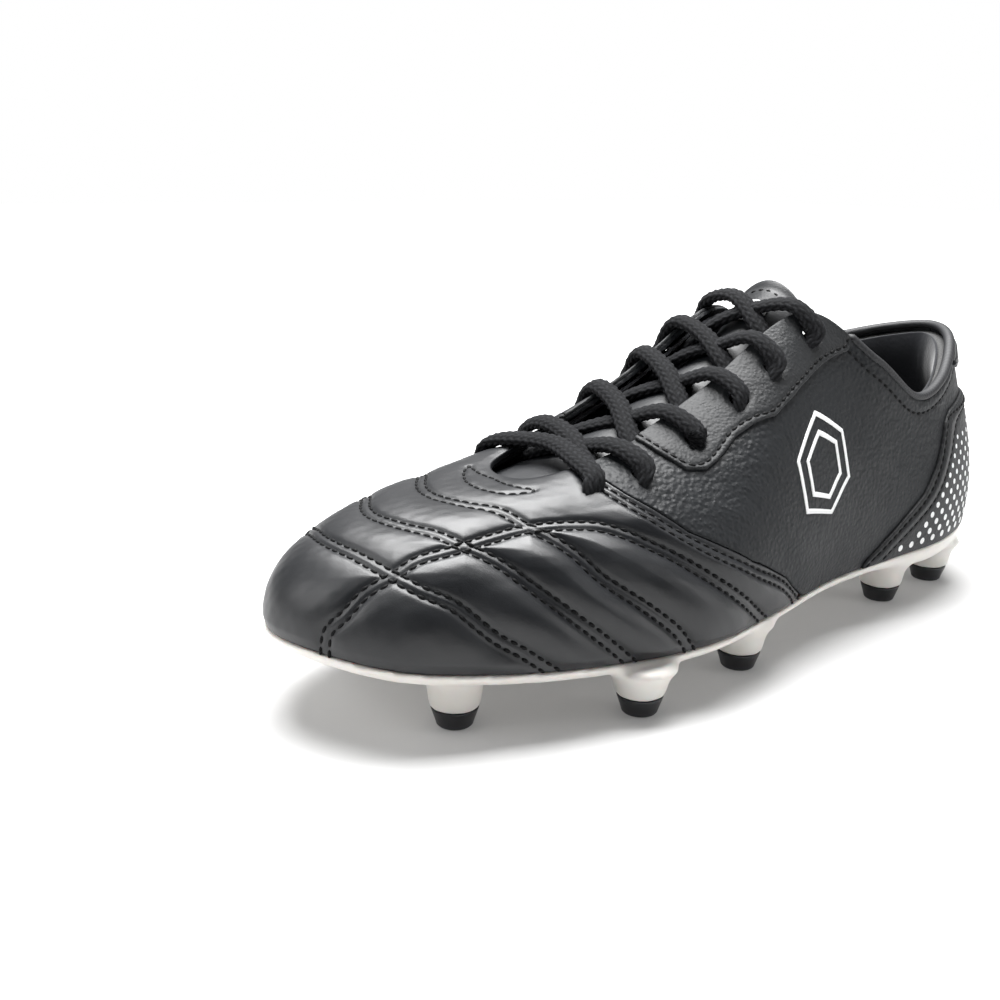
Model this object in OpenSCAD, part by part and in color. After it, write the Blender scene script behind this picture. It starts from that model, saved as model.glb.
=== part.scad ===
/* [Overall] */
// Length of the sole plate, toe to heel
shoe_length = 280; // [235:1:325]
// Width across the ball of the foot
ball_width = 98; // [82:1:116]
// Height of the upper, from the feather line to the top of the facings
upper_height = 86; // [74:1:100]
/* [Sole] */
// Height of each black stud tip
tip_height = 5.5; // [4:0.5:8]
// Height of the moulded base above each tip
base_height = 7.5; // [5:0.5:10]
// Thickness of the sole plate at the forefoot
plate_thickness = 4; // [3:0.5:6]
// Extra thickness of the sole plate under the heel
heel_lift = 5; // [2:0.5:8]
// Rise of the toe above the ball of the foot
toe_spring = 9; // [4:0.5:14]
// Diameter of a stud tip where it meets its base
tip_diameter = 13.5; // [10:0.5:16]
// Diameter of a stud tip where it touches the ground
ground_diameter = 10; // [7:0.5:13]
// Diameter of the peg that keys a tip into its base
peg_diameter = 6; // [4:0.5:8]
// How far the plate stands out past the upper
plate_ledge = 0.6; // [0.2:0.1:2]
/* [Upper] */
// Thickness of the outer material of the vamp and quarters
outer_thickness = 1.4; // [1:0.1:2]
// Thickness of the toe puff and the heel stiffener
stiffener_thickness = 0.9; // [0.6:0.1:1.4]
// Thickness of the lining
lining_thickness = 0.9; // [0.6:0.1:1.4]
// Thickness of the overlays sewn onto the outside
overlay_thickness = 1; // [0.6:0.1:1.6]
// Thickness of the foam in the collar
collar_foam = 5.5; // [3:0.5:8]
// Diameter of the binding along the collar
binding_diameter = 2.8; // [2:0.1:4]
// Thickness of a printed emblem
print_thickness = 0.25; // [0.15:0.05:0.6]
/* [Inside] */
// Thickness of the insole board
board_thickness = 2; // [1.5:0.5:3]
// Thickness of the sockliner
sockliner_thickness = 3.5; // [2.5:0.5:5]
// Gap left between one layer and the next
layer_gap = 0.15; // [0.1:0.05:0.3]
/* [Tongue] */
// Thickness of the leather on the tongue
tongue_face_thickness = 1.2; // [0.8:0.1:2]
// Thickness of the foam in the tongue
tongue_foam_thickness = 3; // [2:0.5:5]
// Thickness of the lining of the tongue
tongue_lining_thickness = 0.8; // [0.6:0.1:1.4]
/* [Lace] */
// Width of the flat lace
lace_width = 6; // [4:0.2:7]
// Thickness of the flat lace
lace_thickness = 3.4; // [2:0.2:4]
// Diameter of each punched eyelet
eyelet_diameter = 6.2; // [5:0.2:8]
// Length of the aglet on each lace end
aglet_length = 16; // [12:1:24]

/* [Hidden] */

// The last is a set of ribs set round the foot, from the heel (0) along the
// outer, lateral side to the toe (10) and back along the medial side. Each rib
// runs from the feather line up to the top edge of the upper:
// [foot x, foot y, top x, top y, top z, rise, flare, reach, drop]
base_length = 280;
base_width = 98;
base_instep = 86;
base_feather = 17;
RIBS = [
  [-139,  -5, -130,  -3,  91, 26, 4,  4, 22],
  [-127,  19, -121,  12,  88, 26, 4,  4, 22],
  [-100,  31, -101,  24,  77, 24, 3,  3, 20],
  [ -68,  33,  -81,  28,  73, 22, 4,  4, 18],
  [ -36,  35,  -61,  25,  87, 22, 6,  8, 24],
  [   0,  43,  -37,  12, 103, 24, 7, 18, 18],
  [  30,  48,    4,  10,  81, 24, 6, 20, 12],
  [  62,  44,   36,  11,  68, 24, 5, 20,  6],
  [  98,  35,   56,   9,  63, 24, 5, 22,  3],
  [ 124,  22,   66,   4,  61, 24, 4, 34,  3],
  [ 139,  -8,   69,  -5,  61, 24, 3, 40,  4],
  [ 127, -31,   66, -12,  62, 24, 4, 34,  3],
  [  98, -44,   57, -16,  64, 24, 5, 22,  3],
  [  62, -48,   40, -18,  69, 26, 5, 18,  6],
  [  26, -41,    8, -18,  83, 26, 7, 16, 12],
  [ -10, -33,  -28, -19, 102, 26, 9, 16, 18],
  [ -44, -32,  -57, -30,  93, 26, 8,  8, 24],
  [ -74, -34,  -79, -33,  83, 22, 5,  4, 20],
  [-104, -34, -101, -29,  85, 24, 3,  3, 20],
  [-127, -23, -121, -18,  89, 26, 4,  4, 22]];
rib_count = len(RIBS);
toe_rib = rib_count / 2;
grade_x = shoe_length / base_length;
grade_y = ball_width / base_width;
grade_z = upper_height / base_instep;
stud_height = tip_height + base_height;
feather_height = stud_height + plate_thickness;

function graded(r) = [r[0] * grade_x, r[1] * grade_y, r[2] * grade_x, r[3] * grade_y,
  feather_height + (r[4] - base_feather) * grade_z, r[5] * grade_z, r[6] * grade_y,
  r[7] * grade_y, r[8] * grade_z];
LAST = [for (r = RIBS) graded(r)];

// Uniform cubic through a closed list of vectors, and its slope
function wrap(i, n) = (i % n + n) % n;
function smooth(list, s) = let (n = len(list), i = floor(s), u = s - i,
  a = list[wrap(i - 1, n)], b = list[wrap(i, n)], c = list[wrap(i + 1, n)],
  d = list[wrap(i + 2, n)])
  b + 0.5 * u * (c - a + u * (2 * a - 5 * b + 4 * c - d + u * (3 * b - a - 3 * c + d)));
function unit(v) = v / norm(v);
function flat(v) = [v.x, v.y];

// Height of the feather line, where upper and sole plate meet
heel_start = 45 * grade_x;
heel_run = 185 * grade_x;
toe_run = 97 * grade_x;
function clamp01(v, top = 1) = min(max(v, 0), top);
function feather_z(x) = feather_height + heel_lift * clamp01((heel_start - x) / heel_run)
  + toe_spring * pow(clamp01((x - heel_start) / toe_run, 1.1), 2);

// Where the feather line passes rib s, moved outwards by d
function feather_normal(s) = let (e = 0.02,
  t = unit(flat(smooth(LAST, s + e)) - flat(smooth(LAST, s - e)))) [-t.y, t.x];
function feather(s, d = 0) = flat(smooth(LAST, s)) + d * feather_normal(s);

// The four control points of the rib at s
function controls(s) = let (r = smooth(LAST, s), foot = [r[0], r[1], feather_z(r[0])],
  top = [r[2], r[3], r[4]], inward = unit([r[0] - r[2], r[1] - r[3], 0]),
  out = feather_normal(s))
  [foot, foot + [out.x * r[6], out.y * r[6], r[5]],
   top + [inward.x * r[7], inward.y * r[7], -r[8]], top];
function bend(c, t) = let (v = 1 - t)
  v * v * v * c[0] + 3 * v * v * t * c[1] + 3 * v * t * t * c[2] + t * t * t * c[3];
function bend_slope(c, t) = let (v = 1 - t)
  3 * (v * v * (c[1] - c[0]) + 2 * v * t * (c[2] - c[1]) + t * t * (c[3] - c[2]));
function normal_at(s, t) = let (e = 0.03)
  unit(cross(bend_slope(controls(s), t), bend(controls(s + e), t) - bend(controls(s - e), t)));
// A point of the upper at rib s, height t (0 feather line, 1 top edge), d mm outside
function skin(s, t, d = 0) = bend(controls(s), t) + d * normal_at(s, t);

// A closed solid between two grids of points: grid[column][row]
module slab(outer, inner) {
  m = len(outer);
  n = len(outer[0]);
  k = m * n;
  points = concat([for (c = outer, p = c) p], [for (c = inner, p = c) p]);
  faces = concat(
    [for (i = [0:m - 2], j = [0:n - 2]) let (a = i * n + j) each [
      [a, a + n, a + 1], [a + 1, a + n, a + n + 1],
      [k + a, k + a + 1, k + a + n], [k + a + 1, k + a + n + 1, k + a + n]]],
    [for (i = [0:m - 2]) let (a = i * n, b = i * n + n - 1) each [
      [a, k + a, a + n], [a + n, k + a, k + a + n],
      [b, b + n, k + b], [b + n, k + b + n, k + b]]],
    [for (j = [0:n - 2]) let (a = j, b = (m - 1) * n + j) each [
      [a, a + 1, k + a], [a + 1, k + a + 1, k + a],
      [b, k + b, b + 1], [b + 1, k + b, k + b + 1]]]);
  polyhedron(points, faces, convexity = 8);
}

// A panel of the upper: stations s0 to s1, from lo(s) to hi(s), between two depths
module panel(s0, s1, columns, rows, lo, hi, outer, inner) {
  stations = [for (i = [0:columns]) s0 + (s1 - s0) * i / columns];
  function row(s, j) = lo(s) + (max(hi(s), lo(s) + 0.02) - lo(s)) * j / rows;
  slab([for (s = stations) [for (j = [0:rows]) let (t = row(s, j)) skin(s, t, outer(s, t))]],
       [for (s = stations) [for (j = [0:rows]) let (t = row(s, j)) skin(s, t, inner(s, t))]]);
}

// A solid through stacked closed loops, capped by strips from side to side
module stack(loops) {
  n = len(loops[0]);
  top = (len(loops) - 1) * n;
  points = [for (l = loops, p = l) p];
  h = n / 2;
  function strip(b, flip) = [for (i = [0:h - 1]) let (l0 = b + i, l1 = b + i + 1,
    m0 = b + wrap(n - i, n), m1 = b + n - i - 1,
    f = i == 0 ? [[l0, l1, m1]] : i == h - 1 ? [[l0, l1, m0]] : [[l0, l1, m1], [l0, m1, m0]])
    each [for (t = f) flip ? [t[0], t[2], t[1]] : t]];
  walls = [for (r = [0:len(loops) - 2], i = [0:n - 1])
    let (a = r * n + i, b = r * n + wrap(i + 1, n)) each [[a, b, a + n], [b, b + n, a + n]]];
  polyhedron(points, concat(strip(0, true), strip(top, false), walls), convexity = 6);
}

// Depths of the layers, measured inwards from the outside of the upper
depth_outer = outer_thickness;
depth_stiffener = depth_outer + layer_gap;
depth_lining = depth_stiffener + stiffener_thickness + layer_gap;
depth_inside = depth_lining + lining_thickness;
constant = function (v) function (s, t) v;
edge = function (v) function (s) v;

// Seam between vamp and quarter, and the lower edge of the facing, as height by rib
SEAM = [[4.5, 0], [4.95, 0.14], [5.58, 0.26], [6.35, 0.46], [6.98, 0.7], [7.55, 0.96], [7.65, 1]];
FACING = [[4.38, 0.98], [4.42, 0.93], [4.75, 0.79], [4.9, 0.73], [5.08, 0.68], [5.28, 0.65],
  [5.53, 0.68], [5.73, 0.69], [5.93, 0.66], [6.08, 0.65], [6.3, 0.69], [6.58, 0.83], [6.8, 0.98]];
// Top of the overlay round the heel, and bottom of the tab above it
COUNTER = [[0, 0.66], [1, 0.72], [1.9, 0.8], [2.1, 0.76], [2.35, 0.51], [2.6, 0.34], [3, 0.2],
  [3.55, 0.02]];
TAB = [[0, 0.74], [0.8, 0.82], [1.5, 0.97]];
// Eyelets: rib and height, from the collar down to the toe
EYELETS = [[4.88, 0.9], [5.3, 0.82], [5.65, 0.81], [6.15, 0.79], [6.78, 0.77], [7.38, 0.79]];
seam_gap = 0.006;
function lateral(s) = s > toe_rib ? rib_count - s : s;
function seam(s) = lookup(lateral(s), SEAM);
function mirrored(side, s) = side > 0 ? s : rib_count - s;

// Straight cuts through the upper for the eyelets of one side
module eyelet_cuts(side, which) {
  for (i = which) {
    s = mirrored(side, EYELETS[i][0]);
    t = EYELETS[i][1];
    n = normal_at(s, t);
    translate(skin(s, t, -8)) rotate([0, acos(n.z), atan2(n.y, n.x)])
      cylinder(h = 16, d = eyelet_diameter, $fn = 32);
  }
}

// Studs, toe to heel: [rib, distance in from the feather line, the same on the medial side]
STUD_PLACES = [[8.2, 14.5, 12.5], [6.72, 4.2, 6], [5.12, 9, 9], [2.62, 11, 11],
               [1.42, 8.5, 8.5]];
function stud_centre(side, i) =
  feather(mirrored(side, STUD_PLACES[i][0]), -STUD_PLACES[i][side > 0 ? 1 : 2]);
peg_height = 3;
tip_gap = 0.02;
module stud_tip(side, i) {
  color("#1b1c1e") translate(stud_centre(side, i)) union() {
    cylinder(h = tip_height, d1 = ground_diameter, d2 = tip_diameter, $fn = 48);
    translate([0, 0, tip_height]) cylinder(h = peg_height, d = peg_diameter, $fn = 32);
  }
}

loop_count = 80;
LOOP = [for (i = [0:loop_count - 1]) i * rib_count / loop_count];
function plate_bottom(x) = feather_z(x) - plate_thickness - heel_lift * 0.6
  * clamp01((-60 * grade_x - x) / (30 * grade_x));
function outline(inset, z) = [for (s = LOOP) let (p = feather(s, -inset)) [p.x, p.y, z(p.x)]];

module outsole_plate() {
  rim = 1.2;
  color("#d9d5cf") difference() {
    union() {
      stack([
        outline(5 - plate_ledge, function (x) plate_bottom(x)),
        outline(2.2 - plate_ledge, function (x) plate_bottom(x) + 0.7),
        outline(0.3 - plate_ledge, function (x) (plate_bottom(x) + feather_z(x)) / 2),
        outline(-plate_ledge, function (x) feather_z(x) - rim),
        outline(-plate_ledge, function (x) feather_z(x))]);
      for (side = [1, -1], i = [0:len(STUD_PLACES) - 1]) {
        c = stud_centre(side, i);
        root = plate_bottom(c.x) + 1.5;
        translate([c.x, c.y, tip_height + tip_gap])
          cylinder(h = root - tip_height - tip_gap, d1 = tip_diameter + 0.6,
            d2 = tip_diameter + 3.5, $fn = 48);
        translate([c.x, c.y, root - 4])
          cylinder(h = 4, d1 = tip_diameter + 1.5, d2 = tip_diameter + 4.5, $fn = 48);
      }
    }
    for (side = [1, -1], i = [0:len(STUD_PLACES) - 1])
      translate(concat(stud_centre(side, i), [tip_height - 1]))
        cylinder(h = peg_height + 1.1, d = peg_diameter + 2 * tip_gap, $fn = 32);
  }
}

board_inset = depth_inside + layer_gap;
module insole_board() {
  color("#8c7a5c") stack([
    outline(board_inset, function (x) feather_z(x) + layer_gap),
    outline(board_inset, function (x) feather_z(x) + layer_gap + board_thickness)]);
}
sockliner_z = board_thickness + 2 * layer_gap;
module sockliner() {
  color("#2a2b2d") stack([
    outline(board_inset + 0.8, function (x) feather_z(x) + sockliner_z),
    outline(board_inset + 0.3, function (x) feather_z(x) + sockliner_z + sockliner_thickness)]);
}

module toe_puff() {
  color("#4a4a4a") panel(8.3, 11.7, 18, 5, edge(0.03), edge(0.42),
    constant(-depth_stiffener - layer_gap), constant(layer_gap - depth_lining));
}
module heel_stiffener() {
  color("#4a4a4a") panel(-3.2, 3.2, 26, 5, edge(0.03), edge(0.56),
    constant(-depth_stiffener), constant(layer_gap - depth_lining));
}

module vamp() {
  top = function (s) lateral(s) < 7.65 ? seam(s) - seam_gap : 1;
  color("#1d1e20") difference() {
    panel(4.62, rib_count - 4.62, 54, 12, edge(0), top, constant(0), constant(-depth_outer));
    for (side = [1, -1]) eyelet_cuts(side, [5]);
  }
}
module quarter(side) {
  low = function (s) lateral(s) < 4.5 ? 0 : seam(s) + seam_gap;
  color("#232528") difference() {
    panel(mirrored(side, side > 0 ? 0.02 : 7.6), mirrored(side, side > 0 ? 7.6 : 0.02), 36, 8,
      low, edge(1), constant(0), constant(-depth_outer));
    eyelet_cuts(side, [0:4]);
  }
}
module quarter_lateral() { quarter(1); }
module quarter_medial() { quarter(-1); }

module facing(side) {
  low = function (s) lookup(lateral(s), FACING);
  color("#17181a") difference() {
    panel(mirrored(side, side > 0 ? 4.4 : 6.8), mirrored(side, side > 0 ? 6.8 : 4.4), 24, 4,
      low, edge(1), constant(overlay_thickness + layer_gap), constant(layer_gap));
    eyelet_cuts(side, [0:4]);
  }
}
module facing_lateral() { facing(1); }
module facing_medial() { facing(-1); }

module heel_counter_overlay() {
  color("#1b1c1e") panel(-3.5, 3.5, 42, 5, edge(0.005),
    function (s) lookup(abs(s), COUNTER),
    constant(overlay_thickness + layer_gap), constant(layer_gap));
}
module heel_tab() {
  color("#141517") panel(-1.45, 1.45, 14, 3, function (s) lookup(abs(s), TAB), edge(0.985),
    constant(overlay_thickness + layer_gap), constant(layer_gap));
}

// The collar: how much of the foam's thickness there is at rib s and height t
collar_end = 4.5;
function swell(v) = clamp01(1 - v * v);
function foam_at(s, t) = let (a = s > toe_rib ? rib_count - s : abs(s))
  collar_foam * pow(swell((t - 0.8) / 0.24), 0.6) * swell(pow(a / collar_end, 4));
foam_low = 0.6;
foam_high = 0.975;
module collar_padding() {
  color("#3a3a3a") panel(-4.2, 4.2, 32, 6, edge(foam_low), edge(foam_high),
    constant(-depth_stiffener), function (s, t) -depth_stiffener - 0.2 - foam_at(s, t));
}
module collar_lining() {
  color("#101113") panel(-4.4, 4.4, 36, 7, edge(foam_low), edge(0.985),
    function (s, t) -depth_stiffener - 0.35 - foam_at(s, t),
    function (s, t) -depth_stiffener - 0.35 - lining_thickness - foam_at(s, t));
}
module heel_lining() {
  color("#101113") panel(-3.6, 3.6, 30, 5, edge(0.02), edge(foam_low - 0.02),
    constant(-depth_lining), constant(-depth_inside));
}

lining_joint = 7.08;
module quarter_lining(side) {
  high = function (s) lateral(s) < 4.5 ? foam_low - 0.02 : 0.985;
  color("#141517") difference() {
    panel(mirrored(side, side > 0 ? 3.65 : lining_joint),
      mirrored(side, side > 0 ? lining_joint : 3.65), 26, 7, edge(0.02), high,
      constant(-depth_lining), constant(-depth_inside));
    eyelet_cuts(side, [0:4]);
  }
}
module quarter_lining_lateral() { quarter_lining(1); }
module quarter_lining_medial() { quarter_lining(-1); }
module vamp_lining() {
  color("#141517") difference() {
    panel(lining_joint + 0.03, rib_count - lining_joint - 0.03, 32, 10, edge(0.02), edge(0.97),
      constant(-depth_lining), constant(-depth_inside));
    for (side = [1, -1]) eyelet_cuts(side, [5]);
  }
}

// A tube of elliptical section through points, its flat side turned by the path itself
function turned(prev, tangent) = unit(prev - (prev * tangent) * tangent);
module ribbon(path, first, width, thickness, sides = 8) {
  n = len(path);
  tangents = [for (i = [0:n - 1]) unit(path[min(i + 1, n - 1)] - path[max(i - 1, 0)])];
  normals = [for (i = 0, v = turned(first, tangents[0]); i < n;
    i = i + 1, v = i < n ? turned(v, tangents[i]) : v) v];
  points = [for (i = [0:n - 1]) let (a = normals[i], b = cross(tangents[i], a))
    each [for (k = [0:sides - 1]) path[i] + a * thickness / 2 * cos(360 * k / sides)
      + b * width / 2 * sin(360 * k / sides)]];
  walls = [for (i = [0:n - 2], k = [0:sides - 1])
    let (a = i * sides + k, b = i * sides + wrap(k + 1, sides))
    each [[a, a + sides, b], [b, a + sides, b + sides]]];
  start = [for (k = [0:sides - 1]) k];
  end = [for (k = [sides - 1:-1:0]) (n - 1) * sides + k];
  polyhedron(points, concat([start, end], walls), convexity = 10);
}

module collar_binding() {
  path = [for (i = [0:44]) let (s = -4.4 + 8.8 * i / 44) skin(s, 1, -depth_outer * 0.6)
    + [0, 0, binding_diameter / 2 + 3 * layer_gap]];
  color("#0f1012") ribbon(path, [0, 0, 1], binding_diameter, binding_diameter, 10);
}

// Emblem: a plain hexagon ring, printed on each quarter
emblem_centre = [4.56, 0.49];
emblem_radius = [0.42, 0.18];
module emblem(side) {
  corner = function (i, k) let (a = 60 * i, s = emblem_centre[0] + k * emblem_radius[0] * cos(a),
    t = emblem_centre[1] + k * emblem_radius[1] * sin(a)) [mirrored(side, s), t];
  steps = 4;
  ring = function (k, d) [for (i = [0:6 * steps]) let (a = floor(i / steps), f = i / steps - a,
    p = corner(a, k) * (1 - f) + corner(a + 1, k) * f) skin(p[0], p[1], d)];
  color("#f2f2f0") for (r = [[1, 0.9], [0.66, 0.56]]) {
    low = layer_gap / 2;
    high = low + print_thickness;
    outer = [for (i = [0:6 * steps]) [ring(r[0], high)[i], ring(r[1], high)[i]]];
    inner = [for (i = [0:6 * steps]) [ring(r[0], low)[i], ring(r[1], low)[i]]];
    closed_ring(side > 0 ? outer : inner, side > 0 ? inner : outer);
  }
}
module closed_ring(outer, inner) {
  n = len(outer) - 1;
  points = [for (i = [0:n - 1]) each [outer[i][0], outer[i][1], inner[i][1], inner[i][0]]];
  faces = [for (i = [0:n - 1], k = [0:3]) let (a = 4 * i, b = 4 * wrap(i + 1, n), l = wrap(k + 1, 4))
    each [[a + k, b + k, a + l], [a + l, b + k, b + l]]];
  polyhedron(points, faces, convexity = 4);
}
module emblem_lateral() { emblem(1); }
module emblem_medial() { emblem(-1); }

// Tongue: a centre line from the sewn base to the top, arched across
TONGUE_LINE = [[74, 56.2], [40, 57.6], [-14, 81.2], [-40, 112]];
TONGUE_ARCH = [[0, 0.005], [0.13, 0.009], [0.25, 0.017], [0.5, 0.027], [0.75, 0.042],
               [0.9, 0.062], [1, 0.068]];
TONGUE_HALF = [[0, 12], [0.13, 13], [0.25, 16], [0.5, 20.5], [0.72, 20], [0.84, 14.6],
               [0.94, 13.4], [1, 11]];
tongue_line = [for (p = TONGUE_LINE) [p[0] * grade_x, -4 * grade_y,
  feather_height + (p[1] - base_feather) * grade_z]];
function tongue_mid(u) = bend(tongue_line, u);
function tongue_surface(u, v) = let (c = tongue_mid(u), y = v * lookup(u, TONGUE_HALF) * grade_y)
  [c.x, c.y + y, c.z - lookup(u, TONGUE_ARCH) * y * y];
function tongue_point(u, v, d) = let (e = 0.01,
  a = tongue_surface(min(u + e, 1), v) - tongue_surface(max(u - e, 0), v),
  b = tongue_surface(u, v + e) - tongue_surface(u, v - e)) tongue_surface(u, v) + d * unit(cross(b, a));
module tongue_layer(d0, d1, u0 = 0, u1 = 1, wide = 1) {
  us = [for (i = [0:20]) u0 + (u1 - u0) * i / 20];
  vs = [for (j = [-5:5]) wide * j / 5];
  slab([for (u = us) [for (v = vs) tongue_point(u, v, -d0)]],
       [for (u = us) [for (v = vs) tongue_point(u, v, -d1)]]);
}
foam_depth = tongue_face_thickness + layer_gap / 2;
tongue_lining_depth = foam_depth + tongue_foam_thickness + layer_gap / 2;
module tongue_face() { color("#26282b") tongue_layer(0, tongue_face_thickness); }
module tongue_foam() {
  color("#3a3a3a") tongue_layer(foam_depth, foam_depth + tongue_foam_thickness, 0.02, 0.98, 0.93);
}
module tongue_lining() {
  color("#101113") tongue_layer(tongue_lining_depth, tongue_lining_depth + tongue_lining_thickness);
}
module tongue_label() {
  color("#f2f2f0") tongue_layer(-layer_gap / 2 - print_thickness, -layer_gap / 2, 0.86, 0.93, 0.4);
}

// Lace route from the lateral end to the medial end. It lies on the sockliner, rises to
// the top eyelet, criss-crosses down the throat, runs straight across the lowest pair
// and comes back the same way. Each eyelet is entered from below and left over the edge.
LACE = [
  [-103, -6, 29.5], [-92, -1, 28.5], [-79, 6, 38], [-65, 10, 60], [-44, 12, 87],
  [-37.5, 12, 94.5], [-35, 17, 94], [-36.5, 18.5, 98.5], [-33.5, 12, 105.5], [-29, 1.5, 104.2],
  [-22.5, -8.5, 99.4], [-17, -16.5, 91], [-13.5, -19.5, 86], [-11, -24.5, 85], [-12, -25.5, 90],
  [-12, -18.5, 98.5], [-12.5, -7, 96], [-11, 3, 90], [-10, 11.5, 82], [-6, 16.5, 77],
  [-2, 21, 77], [-2.5, 20, 82.5], [-0.5, 11, 86.5], [2.5, -0.5, 82.5], [9, -10.5, 78.5],
  [14, -18.5, 73.5], [17.5, -22.5, 69.5], [19.5, -27, 69.5], [19, -27.5, 74.5], [20.5, -19, 80],
  [23, -6, 76.5], [28, 5, 70], [31.5, 14, 63], [36.5, 19, 60], [39, 24, 61], [38, 22.5, 66],
  [39.5, 12, 69], [41, -0.5, 66.6], [46, -11, 64.4], [50, -20, 60], [54.5, -24, 58],
  [57.5, -28, 60], [56, -27, 64.5], [53.5, -18, 67], [50, -3.5, 68], [52, 11, 66],
  [53.5, 20, 63.5], [55.5, 21, 59], [52.5, 17.5, 57], [47.5, 13.8, 60.4], [45, 4.5, 64.8],
  [42, -6.5, 69], [41, -19, 70.5], [40.5, -29, 67], [41.5, -29.5, 62.5], [39, -25, 61.5],
  [35, -20.5, 64.5], [29.5, -11.5, 69], [23, -1, 73], [19.5, 11.5, 77], [16.5, 21.5, 72.5],
  [17.5, 22.5, 67.5], [14.5, 18, 66.5], [10.8, 12.2, 71.6], [7.5, 3.5, 79.5], [4, -6.5, 86],
  [2, -19, 89.5], [1, -26, 83], [1.5, -25.5, 78], [-1, -20.5, 78.5], [-4.5, -17.5, 83],
  [-9, -9.5, 89.1], [-14, 0, 93.1], [-16.5, 11, 96.5], [-18, 19.5, 91], [-16.5, 19.5, 85],
  [-20, 15, 86], [-24.3, 11.3, 91.8], [-25.8, 2.2, 101.3], [-27.5, -8, 107], [-28, -19.5, 105],
  [-28.5, -24.5, 98], [-27.5, -22.5, 93.5], [-29.5, -20.5, 93.5], [-36.5, -23, 86],
  [-55, -14, 62], [-70, -9, 42], [-86, -9, 28.8], [-100, -13, 29.6]];
module lace() { color("#161719") ribbon(LACE, [0, 0, 1], lace_width, lace_thickness); }

module aglet(end, next) {
  way = unit(end - next);
  color("#0c0c0d") translate(end) rotate([0, acos(way.z), atan2(way.y, way.x)])
    cylinder(h = aglet_length, d = lace_thickness, $fn = 24);
}
lace_end = len(LACE) - 1;
module aglet_lateral() { aglet(LACE[0], LACE[1]); }
module aglet_medial() { aglet(LACE[lace_end], LACE[lace_end - 1]); }

outsole_plate();
stud_tip(1, 0);  // stud_tip_front_lateral
stud_tip(1, 1);  // stud_tip_ball_lateral
stud_tip(1, 2);  // stud_tip_rear_ball_lateral
stud_tip(1, 3);  // stud_tip_heel_front_lateral
stud_tip(1, 4);  // stud_tip_heel_rear_lateral
stud_tip(-1, 0);  // stud_tip_front_medial
stud_tip(-1, 1);  // stud_tip_ball_medial
stud_tip(-1, 2);  // stud_tip_rear_ball_medial
stud_tip(-1, 3);  // stud_tip_heel_front_medial
stud_tip(-1, 4);  // stud_tip_heel_rear_medial
insole_board();
sockliner();
toe_puff();
heel_stiffener();
vamp();
quarter_lateral();
quarter_medial();
facing_lateral();
facing_medial();
heel_counter_overlay();
heel_tab();
vamp_lining();
quarter_lining_lateral();
quarter_lining_medial();
heel_lining();
collar_lining();
collar_padding();
collar_binding();
emblem_lateral();
emblem_medial();
tongue_face();
tongue_foam();
tongue_lining();
tongue_label();
lace();
aglet_lateral();
aglet_medial();
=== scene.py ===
import math

import bmesh
import bpy
import numpy as np
from mathutils import Matrix, Vector, kdtree


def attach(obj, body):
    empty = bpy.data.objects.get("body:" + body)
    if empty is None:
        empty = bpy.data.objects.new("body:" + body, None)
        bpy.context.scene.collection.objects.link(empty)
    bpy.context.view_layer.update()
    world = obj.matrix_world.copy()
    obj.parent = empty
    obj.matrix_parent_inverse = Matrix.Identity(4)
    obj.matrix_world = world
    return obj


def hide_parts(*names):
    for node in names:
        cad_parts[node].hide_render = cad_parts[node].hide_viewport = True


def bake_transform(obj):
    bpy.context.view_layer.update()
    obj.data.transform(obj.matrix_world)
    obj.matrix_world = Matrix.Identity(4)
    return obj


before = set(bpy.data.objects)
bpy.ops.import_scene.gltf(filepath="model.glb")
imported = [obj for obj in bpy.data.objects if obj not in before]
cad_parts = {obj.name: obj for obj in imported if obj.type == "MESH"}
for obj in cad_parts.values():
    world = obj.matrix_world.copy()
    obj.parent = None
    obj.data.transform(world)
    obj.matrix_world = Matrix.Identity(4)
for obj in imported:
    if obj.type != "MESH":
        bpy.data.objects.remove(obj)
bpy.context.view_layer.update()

MM = 0.001

# ---------------------------------------------------------------------------
# Studio. A pale floor that glows with painted light, faint near the shoe and full white away
# from it, a large soft light overhead and a white wall of light behind the shoe, so that the
# leather's upward faces shine and its near side stays dark.
# ---------------------------------------------------------------------------


def linear(code):
    """The linear colour of an sRGB hex code."""
    parts = [int(code[i:i + 2], 16) / 255 for i in (1, 3, 5)]
    parts = [p / 12.92 if p <= 0.04045 else ((p + 0.055) / 1.055) ** 2.4 for p in parts]
    return (*parts, 1.0)


def add(tree, kind, inputs=None, **settings):
    """A new node. inputs gives a value, or another node's output, for each socket."""
    node = tree.nodes.new(kind)
    for name, value in settings.items():
        setattr(node, name, value)
    for name, value in (inputs or {}).items():
        if isinstance(value, bpy.types.NodeSocket):
            tree.links.new(value, node.inputs[name])
        else:
            node.inputs[name].default_value = value
    return node


def blank_material(name):
    """A new material, its empty node tree and a socket with object coordinates."""
    material = bpy.data.materials.new(name)
    material.use_nodes = True
    tree = material.node_tree
    tree.nodes.clear()
    return material, tree, add(tree, "ShaderNodeTexCoord").outputs["Object"]


def noise(tree, vector, scale, detail=2.0, **more):
    """Noise with cells of 1 / scale metres: its value socket."""
    return add(tree, "ShaderNodeTexNoise", {"Vector": vector, "Scale": scale,
               "Detail": detail, **more}).outputs[0]


def tinted(tree, amount, low, high):
    """A colour between two hex codes."""
    return add(tree, "ShaderNodeMix", {0: amount, 6: linear(low), 7: linear(high)},
               data_type="RGBA").outputs[2]


def bumped(tree, height, strength, millimetres):
    """A surface direction for relief that many millimetres deep."""
    return add(tree, "ShaderNodeBump", {"Height": height, "Strength": strength,
               "Distance": millimetres * MM}).outputs[0]


def times_plus(tree, value, factor, rest):
    """value * factor + rest."""
    return add(tree, "ShaderNodeMath", {0: value, 1: factor, 2: rest},
               operation="MULTIPLY_ADD").outputs[0]


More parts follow.
